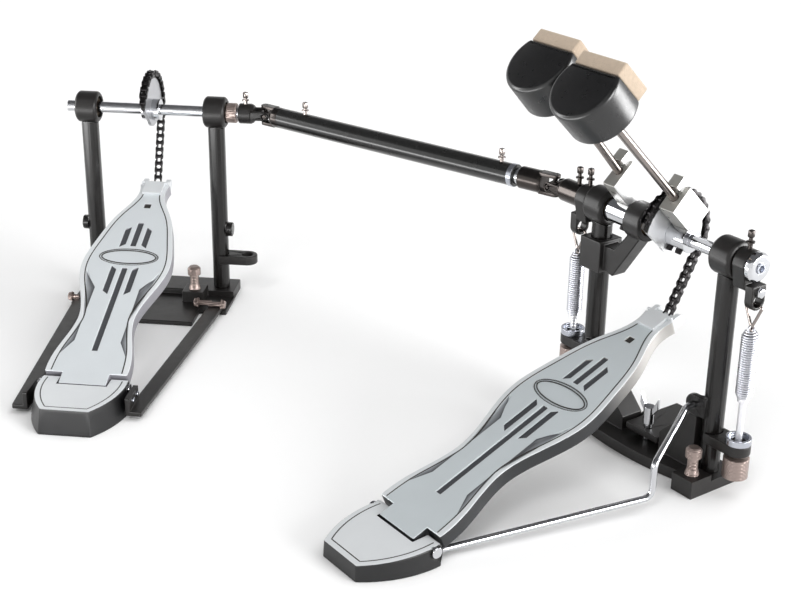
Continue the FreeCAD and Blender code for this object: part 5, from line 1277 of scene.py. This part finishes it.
@dataclass
class ReturnSpring:
    """A return spring's coil, with a hook over its link."""

    side: str
    across: float
    bracket: float
    foot: float = 76.9
    pitch: float = 1.76
    turns: int = 30
    steps_per_turn: int = 28
    radius: float = 5.4
    wire: float = 0.82
    taper_turns: float = 2.5
    end_share: float = 0.6
    hook_radius: float = 3.0
    hook_reach: float = 153.0
    hook_steps: int = 40
    apex: float = 132.4
    hook_below: float = 1.2
    bracket_thickness: float = 1.0

    def coil(self) -> Surface:
        """A helix of round wire that draws in at both ends.

        The height grows evenly with the angle. The radius is its full value in the middle, and falls evenly
        to a share of it over a few turns at either end.
        """
        steps = self.turns * self.steps_per_turn
        angle = np.linspace(0, TAU * self.turns, steps)
        turn = angle / TAU
        height = self.foot + self.wire + self.pitch * turn
        inwards = np.minimum(turn, self.turns - turn) / self.taper_turns
        radius = self.radius * (self.end_share + (1 - self.end_share) * np.minimum(inwards, 1))
        path = np.stack([radius * np.cos(angle), radius * np.sin(angle), height], axis=-1)
        side = np.stack([np.cos(angle), np.sin(angle), np.zeros(steps)], axis=-1)
        return tube(path, side, self.wire, sides=10).moved(IN_PLACE, (self.across, 0, 0))

    def hook(self) -> Surface:
        """A ring of the same wire from the last turn up through the link's foot, open at the bottom."""
        angle = math.pi / 2 + np.radians(np.linspace(-self.hook_reach, self.hook_reach, self.hook_steps))
        path = np.stack([np.zeros_like(angle), np.cos(angle), np.sin(angle)], axis=-1) * self.hook_radius
        ring = tube(path, np.array([1.0, 0, 0]), self.wire, sides=10)
        return ring.moved(IN_PLACE, (self.across, 0, self.apex - self.hook_below))

    def build(self) -> None:
        """Make the coil, which rides on no body, and the hook."""
        coil = make_piece(f"{self.side}_coil_spring", self.coil(), Metal.SPRING, None)
        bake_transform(coil)
        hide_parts(f"{self.side}_spring_coil")
        make_piece(f"{self.side}_coil_hook", self.hook(), Metal.SPRING, f"{self.side}_link")
        dress_node(f"{self.side}_spring_link", Metal.DRAWN, edge=0)
        adjuster = ThreadedFinish(
            f"threaded_adjuster_{self.side}",
            "#9a8b85",
            0.85,
            0.34,
            grain_depth_mm=0.25,
            own_to=self.bracket * MM,
            other_from=(self.bracket + self.bracket_thickness) * MM,
        )
        dress_node(f"{self.side}_spring_adjuster", adjuster, edge=0.4)


@dataclass
class Beater:
    """A beater: its rod as packed, a moulded head with one flat side, and a felt pad on it."""

    name: str
    axle: str
    across: float
    lean: float
    reach: float
    rod_offset: float
    clamp_ahead: float = 8.6
    clamp_seat: float = 32.6
    neck_half: float = 3.0
    neck_corner: float = 0.5
    neck_rim: float = 0.3
    neck_top: float = 37.6
    cap_half: float = 5.0
    cap_corner: float = 0.8
    cap_rim: float = 0.7
    cap_top: float = 42.4
    head_radius: float = 26.0
    head_length: float = 31.0
    flat_at: float = 14.5
    corner: float = 2.0
    rim: float = 3.2
    fillet_steps: int = 7
    circle_steps: int = 84
    pad_width: float = 42.0
    pad_length: float = 29.0
    pad_thickness: float = 10.5
    pad_corner: float = 1.6
    pad_edge: float = 1.1
    pad_crown: float = 0.25
    crown_from: float = 0.6

    def placed(self, surface: Surface) -> Surface:
        """Carry a surface from the rod's axes to the frame."""
        return surface.moved(turn_about((1, 0, 0), self.lean), (self.across, 0, PRIMARY.axle_height))

    def head(self) -> Surface:
        """A round head with a flat side: its outline carried up, with quarter-round rims.

        The outline is a circle cut by a line, with a small arc in each corner that touches both.
        """
        inner = self.head_radius - self.corner
        height = self.flat_at - self.corner
        reach = math.sqrt(inner**2 - height**2)
        start = math.atan2(height, reach)
        bend = np.linspace(start, math.pi / 2, self.fillet_steps)
        fillet = on_circle(bend) * self.corner + np.array([reach, height])
        other = fillet[::-1] * np.array([-1, 1])
        angle = np.linspace(math.pi - start, TAU + start, self.circle_steps)[1:-1]
        circle = self.head_radius * on_circle(angle)
        outline = np.concatenate([fillet, other, circle])
        block = prism(outline, rounded_layers(0, self.head_length, self.rim, steps=7))
        return self.placed(block.moved(IN_PLACE, (0, self.rod_offset, self.reach)))

    def pad(self) -> Surface:
        """A felt block with round edges and a slightly crowned face.

        Layers of a rounded rectangle, drawn in towards the face by a quarter circle. The face then rises by
        a parabola across its width.
        """
        outline = oblong(self.pad_width / 2, self.pad_length / 2, self.pad_corner, steps=8)
        block = prism(outline, rounded_layers(0, self.pad_thickness, self.pad_edge, steps=5))
        rise = self.pad_crown * (1 - (block.points[:, 0] / self.pad_width * 2) ** 2)
        block.points[:, 2] += np.where(block.points[:, 2] > self.pad_thickness * self.crown_from, rise, 0)
        face = np.array([[1.0, 0, 0], [0, 0, 1.0], [0, 1.0, 0]])
        middle = self.reach + self.head_length / 2
        return self.placed(block.moved(face, (0, self.rod_offset + self.flat_at, middle)))

    def clamp(self) -> Surface:
        """The square-headed bolt on the holder beside the rod: a square neck and a wider cap."""
        neck = prism(
            oblong(self.neck_half, self.neck_half, self.neck_corner, steps=3),
            rounded_layers(self.clamp_seat, self.neck_top, self.neck_rim),
        )
        cap = prism(
            oblong(self.cap_half, self.cap_half, self.cap_corner, steps=4),
            rounded_layers(self.neck_top, self.cap_top, self.cap_rim),
        )
        return self.placed(joined([neck, cap]).moved(IN_PLACE, (0, self.rod_offset + self.clamp_ahead, 0)))

    def build(self) -> None:
        """Dress the rod, make the head, the pad and the clamp bolt."""
        dress_node(f"{self.name}_rod", Metal.DRAWN, edge=0)
        make_piece(f"{self.name}_clamp_bolt", self.clamp(), Metal.NICKEL_PAINTED_REFLECTION, self.axle)
        head = make_piece(f"{self.name}_moulded_head", self.head(), Metal.NYLON, self.name)
        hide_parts(f"{self.name}_head")
        pad = make_piece(f"{self.name}_felt_pad", self.pad(), Metal.FELT, self.name)
        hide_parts(f"{self.name}_felt")


@dataclass
class KeyScrew:
    """A clamping screw with a washer and a square head, turned by a drum key."""

    name: str
    body: str
    foot: Triple
    way: Triple = (0, 0, 1)
    length: float = 14.0
    sunk: float = 3.0
    shank: float = 1.7
    washer: float = 3.1
    washer_at: float = 4.6
    washer_bevel: float = 0.2
    washer_top: float = 1.1
    neck_from: float = 1.4
    neck: float = 1.4
    flare: float = 0.4
    head_half: float = 2.0
    head_corner: float = 0.9
    head_rim: float = 1.1
    head_length: float = 5.6
    finish: Metal = Metal.BLACKENED

    def surface(self) -> Surface:
        """Shank, washer, neck and square head along Z, then set in place."""
        base = self.length - self.head_length
        low = self.washer_at
        shank = turned(
            [
                (-self.sunk, self.shank),
                (low, self.shank),
                (low + self.washer_bevel, self.washer),
                (low + self.washer_top, self.washer),
                (low + self.neck_from, self.neck),
                (base, self.neck),
                (base + self.flare, self.head_half),
            ],
            steps=28,
        )
        head = prism(
            oblong(self.head_half, self.head_half, self.head_corner, steps=4),
            rounded_layers(base, self.length, self.head_rim, steps=4),
        )
        return joined([shank, head]).moved(upright(self.way), self.foot)

    def build(self) -> None:
        """Make the screw."""
        make_piece(self.name, self.surface(), self.finish, self.body)


@dataclass
class DomedBolt:
    """A bolt head: a washer, and a round or six-sided cap on it."""

    foot: Triple
    way: Triple
    radius: float
    height: float
    washer: float = 0.0
    sunk: float = 0.6
    sides: int = 28
    shank: float = 0.0
    rim_share: float = 0.4
    rim_steps: int = 6
    washer_top: float = 0.7
    cap_from: float = 0.9
    seat_gap: float = 0.05

    def surface(self) -> Surface:
        """A turned head whose rim is a quarter circle, on a washer where it has one, set in place."""
        rim = min(self.radius, self.height) * self.rim_share
        bend = np.linspace(0, math.pi / 2, self.rim_steps)
        corner = np.array([self.height - rim, self.radius - rim])
        arc = corner + rim * np.stack([np.sin(bend), np.cos(bend)], axis=-1)
        seat = [(0, self.radius)]
        if self.washer:
            seat = [(0, self.washer), (self.washer_top, self.washer), (self.cap_from, self.radius)]
        shank = self.shank or seat[0][1]
        profile = [(-self.sunk, shank), (-self.seat_gap, shank), *seat, *arc]
        return turned(profile, self.sides).moved(upright(self.way), self.foot)


@dataclass
class HexSocket:
    """The six-sided recess in the end cap of the main axle."""

    centre: Triple
    radius: float = 3.98
    across_flats: float = 5.0
    depth: float = 3.0
    floor: float = 0.3
    steps: int = 72

    def surface(self) -> Surface:
        """A round plug with a six-sided hole.

        Rings of points: the outer wall, the end face, the hole's walls and its floor. The hole's
        radius is half its width across flats divided by the cosine of the angle from the nearest flat.
        """
        steps = self.steps
        angle = np.arange(steps) * TAU / steps
        sixth = TAU / 6
        hole = self.across_flats / 2 / np.cos((angle + sixth / 2) % sixth - sixth / 2)
        rings = (
            (np.full(steps, self.radius), -self.depth - self.floor),
            (np.full(steps, self.radius), 0.0),
            (hole, 0.0),
            (hole, -self.depth),
        )
        circle = on_circle(angle)
        rows = [np.column_stack([circle * size[:, None], np.full(steps, height)]) for size, height in rings]
        return capped(np.concatenate(rows), len(rings)).moved(upright((1, 0, 0)), self.centre)


@dataclass
class DrumPedal:
    """The whole object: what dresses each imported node, and the pieces added to them."""

    coated: tuple[str, ...] = (
        "primary_bearing_housings",
        "primary_centre_arm",
        "primary_spring_brackets",
        "primary_rocker",
        "slave_rocker",
        "secondary_base_plate",
        "secondary_bearing_housings",
        "secondary_spring_bracket",
        "secondary_straps",
        "secondary_yoke",
        "hoop_clamp_jaw",
    )
    plated: tuple[str, ...] = (
        "primary_axle",
        "slave_axle",
        "secondary_axle",
        "primary_hinge_pin",
        "secondary_hinge_pin",
        "primary_radius_rods",
        "hoop_clamp_screw",
        "shaft_inner_rod",
    )
    blackened: tuple[str, ...] = (
        "slave_yoke",
        "shaft_rod_yoke",
        "shaft_tube_yoke",
        "primary_joint_cross",
        "secondary_joint_cross",
    )
    joint: Triple = (-128.5, 0, 177.5)
    shaft_way: Triple = (-0.95888, -0.28381, 0)
    # Height of the tube that its screws stand on, and where they are along the shaft
    tube_top: float = 8.8
    near_screw_at: float = 51.0
    far_screw_at: float = 258.5
    short_length: float = 11.0
    short_washer_at: float = 3.0
    rocker_top: float = 188.3
    primary_rocker_at: float = 71.8
    slave_rocker_at: float = -89.0
    yoke_top: float = 186.3
    slave_yoke_at: float = -101.0
    secondary_yoke_at: float = 86.0
    # Screws of both hubs: place from the axle's middle, direction, radius and height of the head
    hub_screws: tuple[tuple[Triple, Triple, float, float], ...] = (
        ((2.5, -4.5, -8.2), (0, -0.48, -0.87), 2.6, 3.2),
        ((11.5, -4.5, -8.2), (0, -0.48, -0.87), 2.6, 3.2),
        ((-11.7, -7.4, 5.1), (0, -0.82, 0.57), 2.8, 5.5),
        ((-3.2, -4.3, 8.2), (0, -0.46, 0.89), 1.6, 5.0),
    )
    slave_hub_screws: tuple[tuple[Triple, Triple, float, float], ...] = (
        ((-45.5, -4.5, -8.2), (0, -0.48, -0.87), 2.6, 3.0),
    )
    # Bolts of the straps: place on the left pedal, side that they face, length in the hole
    strap_bolts: tuple[tuple[Triple, int, float], ...] = (
        ((47, -46, 10.4), -1, 12.0),
        ((68.5, -48, 10.4), 1, 12.0),
        ((-71, -47, 9.4), -1, 6.0),
    )
    strap_head: float = 4.2
    strap_height: float = 4.0
    strap_washer: float = 4.9
    strap_shank: float = 2.4
    rivets_along: tuple[float, ...] = (-252, -241)
    rivet_out: float = 43.6
    rivet_level: float = 13.6
    rivet_radius: float = 2.3
    rivet_height: float = 1.2
    # Nuts of the rockers: axle, place along it, side that they face
    rocker_nuts: tuple[tuple[str, float, int], ...] = (("primary", 84.2, 1), ("slave", -101.4, -1))
    nut_drop: float = 17.3
    nut_radius: float = 3.9
    nut_height: float = 3.2
    cap_end: float = 84.1
    ferrule_at: float = 36.6
    ferrule_bore: float = 6.8
    ferrule_radius: float = 9.4
    ferrule_length: float = 4.6
    ferrule_edge: float = 0.4
    sleeve_at: float = 68.9
    sleeve_radius: float = 8.9
    sleeve_length: float = 9.2
    sleeve_edge: float = 0.6

    def on_shaft(self, distance: float, above: float = 0.0) -> Triple:
        """A point along the drive shaft, measured from the joint at the main pedal."""
        point = np.array(self.joint) + np.array(self.shaft_way) * distance
        return float(point[0]), float(point[1]), float(point[2]) + above

    def screws(self) -> list[KeyScrew]:
        """The key screws: two rockers, two yokes and both ends of the tube."""
        short = {"length": self.short_length, "washer_at": self.short_washer_at, "finish": Metal.DRAWN}
        near, far = (self.on_shaft(at, self.tube_top) for at in (self.near_screw_at, self.far_screw_at))
        yoke = SECONDARY.at(self.secondary_yoke_at, 0, self.yoke_top)
        return [
            KeyScrew("slave_rocker_screw", "slave_axle", (self.slave_rocker_at, 0, self.rocker_top)),
            KeyScrew("slave_yoke_screw", "slave_axle", (self.slave_yoke_at, 0, self.yoke_top)),
            KeyScrew("primary_rocker_screw", "primary_axle", (self.primary_rocker_at, 0, self.rocker_top)),
            KeyScrew("secondary_yoke_screw", "secondary_axle", yoke, **short),
            KeyScrew("tube_near_screw", "shaft_tube", near, **short),
            KeyScrew("tube_far_screw", "shaft_tube", far, **short),
        ]

    def fasteners(self) -> None:
        """Small bolts, rivets and nuts, each group with its finish and what it rides on."""
        axle = PRIMARY.axle()
        hub, slave = (
            [DomedBolt(tuple(axle + place), way, *size) for place, way, *size in screws]
            for screws in (self.hub_screws, self.slave_hub_screws)
        )
        sideways = {side: tuple(SECONDARY.spin() @ [side, 0, 0]) for side in (1, -1)}
        head = (self.strap_head, self.strap_height, self.strap_washer)
        through = [
            DomedBolt(SECONDARY.at(*place), sideways[side], *head, sunk, sides=6, shank=self.strap_shank)
            for place, side, sunk in self.strap_bolts
        ]
        rivets = []
        for side, way in sideways.items():
            feet = [SECONDARY.at(side * self.rivet_out, y, self.rivet_level) for y in self.rivets_along]
            rivets.extend(DomedBolt(foot, way, self.rivet_radius, self.rivet_height) for foot in feet)
        groups = [
            ("hub_screws", hub, Metal.OXIDE, "primary_axle", "black_chain"),
            ("slave_hub_screw", slave, Metal.OXIDE, "slave_axle", "black_chain"),
            ("strap_bolts", through, Metal.KNURLED, "secondary_frame", "knurled_steel"),
            ("strap_rivets", rivets, Metal.ZINC, "secondary_frame", "plain_steel"),
        ]
        for owner, at, side in self.rocker_nuts:
            foot = (at, 0, PRIMARY.axle_height - self.nut_drop)
            nut = DomedBolt(foot, (side, 0, 0), self.nut_radius, self.nut_height, sides=6)
            groups.append((f"{owner}_rocker_nut", [nut], Metal.PLATED, f"{owner}_axle", "chrome"))
        for name, bolts, finish, body, slot in groups:
            make_piece(name, joined(bolt.surface() for bolt in bolts), finish, body)
        socket = HexSocket((self.cap_end, 0, PRIMARY.axle_height))
        make_piece("axle_cap_socket", socket.surface(), Metal.ZINC, "primary_axle")

    def rings(self) -> None:
        """The ferrule at the near end of the tube and the knurled sleeve on the other axle."""
        outer, length, edge = self.ferrule_radius, self.ferrule_length, self.ferrule_edge
        section = [
            (0, self.ferrule_bore),
            (0, outer - edge),
            (edge, outer),
            (length - edge, outer),
            (length, outer - edge),
            (length, self.ferrule_bore),
        ]
        ferrule = turned(section, bored=True).moved(upright(self.shaft_way), self.on_shaft(self.ferrule_at))
        make_piece("tube_ferrule", ferrule, Metal.ZINC, "shaft_tube")
        radius, length, edge = self.sleeve_radius, self.sleeve_length, self.sleeve_edge
        profile = [(0, radius - edge), (edge, radius), (length - edge, radius), (length, radius - edge)]
        foot = SECONDARY.at(self.sleeve_at, 0, SECONDARY.axle_height)
        sleeve = turned(profile).moved(upright(tuple(SECONDARY.spin() @ [1, 0, 0])), foot)
        make_piece("axle_sleeve", sleeve, Metal.KNURLED, "secondary_axle")

    def sprocket(self, frame: PedalFrame) -> None:
        """Dress a pedal's sprocket, set to its own axle."""
        near = frame is PRIMARY
        finish = SprocketFinish(
            f"brushed_aluminium_{frame.name}",
            # Painted light: the near sprocket's face is set lighter than the far one's, a lit and a shaded
            # copy of the same aluminium
            "#e2e3e5" if near else "#b4b5b8",
            0.7,
            0.32,
            grain_mm=0.5,
            grain_depth_mm=0.012,
            axle=tuple(frame.axle()),
            across=tuple(frame.spin()[:, 0]),
        )
        dress_node(f"{frame.name}_sprocket", finish, edge=0.2)

    def build(self) -> None:
        """Dress every node and add the new pieces."""
        for nodes, finish, edge in (
            (("primary_base_plate",), Metal.COATED, 0.35),
            (("primary_posts", "secondary_posts"), Metal.DRAWN_POST, 0.9),
            (self.coated, Metal.COATED, 0.9),
            (self.plated, Metal.PLATED, 0.3),
            (self.blackened, Metal.BLACKENED, 0.4),
            (("primary_beater_holder", "slave_beater_holder"), Metal.NICKEL_PAINTED_REFLECTION, 0.5),
            (("primary_spur_bolts", "secondary_spur_bolts"), Metal.KNURLED, 0.3),
            (("primary_bearings", "secondary_bearings"), Metal.BRONZE, 0),
            (("primary_spring_cups",), Metal.ZINC, 0.4),
            (("shaft_tube",), Metal.LACQUER, 0.5),
        ):
            for node in nodes:
                dress_node(node, finish, edge)
        for frame in (PRIMARY, SECONDARY):
            Footboard(frame).build()
            HeelPlate(frame).build()
            RollerChain(frame).build()
            self.sprocket(frame)
        ReturnSpring("right", across=80.8, bracket=38.0).build()
        ReturnSpring("left", across=-98.0, bracket=58.0).build()
        Beater("primary_beater", "primary_axle", across=11, lean=45, reach=136, rod_offset=13.6).build()
        Beater("slave_beater", "slave_axle", across=-49.5, lean=41.8, reach=128.2, rod_offset=16).build()
        for screw in self.screws():
            screw.build()
        self.fasteners()
        self.rings()


# Studio


@dataclass
class Studio:
    """Camera, floor and light."""

    camera_at: Triple = (715.9, -769.3, 562.5)
    focal_px: float = 1524.0
    frame_px: float = 801.0
    sensor: float = 36.0
    pitch: float = 23.40
    yaw: float = 53.69
    roll: float = -0.86
    floor_half: float = 6000.0
    ceiling_half: float = 2400.0
    ceiling_height: float = 1500.0
    shade_light: float = 0.5
    # Sight of the camera, and places of the lamps and cards, in metres
    sight: float = 50.0
    beaters: Triple = (-0.02, -0.08, 0.28)
    beside_tube: Triple = (-0.636, -0.041, 0.208)
    # Distant lamps: name, direction, spread in degrees, level on a flat floor
    suns: tuple[tuple[str, Triple, float, float], ...] = (
        ("overhead", (0.25, 0.45, 1.0), 50, 0.28),
        ("front", (0.5, -0.9, 1.0), 18, 0.14),
        ("side", (1.0, 0.3, 0.22), 30, 0.18),
    )
    # Bright cards: name, middle, point that it faces, two sides, brightness
    cards: tuple[tuple[str, Triple, Triple, tuple[float, float], float], ...] = (
        ("rim_card", (0.43, 0.55, 0.17), beaters, (0.75, 0.33), 13.0),
        ("left_card", (-1.3, -1.2, 0.42), beaters, (1.0, 0.4), 9.0),
        ("tube_card", (-0.47, -0.6, 0.06), beside_tube, (0.1, 1.3), 8.0),
    )

    def camera(self) -> None:
        """A camera at the photograph's place and angle."""
        pitch, yaw, roll = (math.radians(value) for value in (self.pitch, self.yaw, self.roll))
        ahead = np.array([-math.sin(yaw), math.cos(yaw), -math.tan(pitch)]) * math.cos(pitch)
        right = np.array([math.cos(yaw), math.sin(yaw), 0])
        down = np.cross(ahead, right)
        level = math.cos(roll) * right + math.sin(roll) * down
        under = -math.sin(roll) * right + math.cos(roll) * down
        data = bpy.data.cameras.new("studio_camera")
        data.sensor_width = self.sensor
        data.lens = self.sensor * self.focal_px / self.frame_px
        data.clip_end = self.sight
        camera = bpy.data.objects.new("studio_camera", data)
        turn = Matrix(np.stack([level, -under, -ahead], axis=1).tolist())
        camera.matrix_world = Matrix.Translation([value * MM for value in self.camera_at]) @ turn.to_4x4()
        bpy.context.scene.collection.objects.link(camera)
        bpy.context.scene.camera = camera

    def sheet(self, name: str, half: float, height: float, finish: Finish) -> bpy.types.Object:
        """A square sheet of the studio that faces up on the floor, and down above it.

        Args:
            name: the sheet's name.
            half: half its side.
            height: its height above the floor.
            finish: its finish.

        Returns:
            The sheet, which is no part of the object.
        """
        corners = np.array([[-half, -half], [half, -half], [half, half], [-half, half]])
        points = np.column_stack([corners, np.full(len(corners), height)]) * MM
        mesh = bpy.data.meshes.new(name)
        mesh.from_pydata(points.tolist(), [], [(0, 3, 2, 1) if height else (0, 1, 2, 3)])
        mesh.materials.append(finish.build())
        sheet = bpy.data.objects.new(name, mesh)
        bpy.context.scene.collection.objects.link(sheet)
        return sheet

    def floor(self) -> None:
        """A pale floor that keeps the object's shadow."""
        paper = Finish("studio_paper", "#fcfcfc", roughness=0.9, tone=0.004)
        self.sheet("studio_floor", self.floor_half, 0, paper)

    def aimed(self, lamp: bpy.types.Object, at: Sequence[float], target: Sequence[float]) -> None:
        """Put a lamp at a place in metres, facing a target, and out of the camera's sight."""
        turn = Matrix(upright(np.asarray(at, float) - np.asarray(target, float)).tolist())
        lamp.matrix_world = Matrix.Translation(at) @ turn.to_4x4()
        lamp.visible_camera = False
        bpy.context.scene.collection.objects.link(lamp)

    def bright_card(
        self, name: str, at: Sequence[float], target: Sequence[float], size: Sequence[float], level: float
    ) -> None:
        """A lit card in metres that is seen only in reflections.

        Args:
            name: the lamp's name.
            at: its middle.
            target: the point that it faces.
            size: its two sides.
            level: its brightness, where 1 is white paper.
        """
        data = bpy.data.lights.new(name, "AREA")
        data.shape = "RECTANGLE"
        data.size, data.size_y = size
        data.energy = level * math.pi * size[0] * size[1]
        lamp = bpy.data.objects.new(name, data)
        lamp.visible_diffuse = False
        self.aimed(lamp, at, target)

    def ceiling(self) -> None:
        """A dark ceiling that only reflections see, so that metal and gloss black show their shape."""
        cloth = Finish("ceiling_cloth", "#68686a", roughness=0.95, specular=0.1)
        ceiling = self.sheet("studio_ceiling", self.ceiling_half, self.ceiling_height, cloth)
        ceiling.visible_camera = False
        ceiling.visible_diffuse = False
        ceiling.visible_transmission = False
        ceiling.visible_shadow = False

    def sun(self, name: str, way: Sequence[float], spread: float, level: float) -> None:
        """A distant lamp, as wide as spread degrees, that alone lights a flat floor to a level."""
        data = bpy.data.lights.new(name, "SUN")
        data.angle = math.radians(spread)
        data.energy = level * math.pi * float(np.linalg.norm(way)) / way[2]
        self.aimed(bpy.data.objects.new(name, data), way, (0, 0, 0))

    def sky(self) -> None:
        """A white surround: full white to the eye and in reflections, softer as light."""
        world = bpy.data.worlds.new("studio_white")
        bpy.context.scene.world = world
        world.use_nodes = True
        tree = world.node_tree
        tree.nodes.clear()
        path = add_node(tree, "ShaderNodeLightPath").outputs
        seen = path["Is Camera Ray"]
        for other in ("Is Glossy Ray", "Is Transmission Ray"):
            links = {0: seen, 1: path[other]}
            seen = add_node(tree, "ShaderNodeMath", {"operation": "MAXIMUM"}, links=links).outputs["Value"]
        limits = {"To Min": self.shade_light, "To Max": 1.0}
        strength = add_node(tree, "ShaderNodeMapRange", inputs=limits, links={"Value": seen})
        back = add_node(
            tree,
            "ShaderNodeBackground",
            inputs={"Color": linear("#ffffff")},
            links={"Strength": strength.outputs["Result"]},
        )
        add_node(tree, "ShaderNodeOutputWorld", links={"Surface": back.outputs["Background"]})

    def build(self) -> None:
        """Set up the picture."""
        bpy.context.scene.view_settings.view_transform = "Standard"
        self.camera()
        self.floor()
        self.sky()
        for sun in self.suns:
            self.sun(*sun)
        self.ceiling()
        for card in self.cards:
            self.bright_card(*card)


def main() -> None:
    """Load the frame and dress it."""
    logging.basicConfig(level=logging.INFO, format="%(name)s: %(message)s")
    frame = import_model()
    packed_nodes.update(frame["nodes"])
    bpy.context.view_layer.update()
    Studio().build()
    DrumPedal().build()


if __name__ == "__main__":
    main()
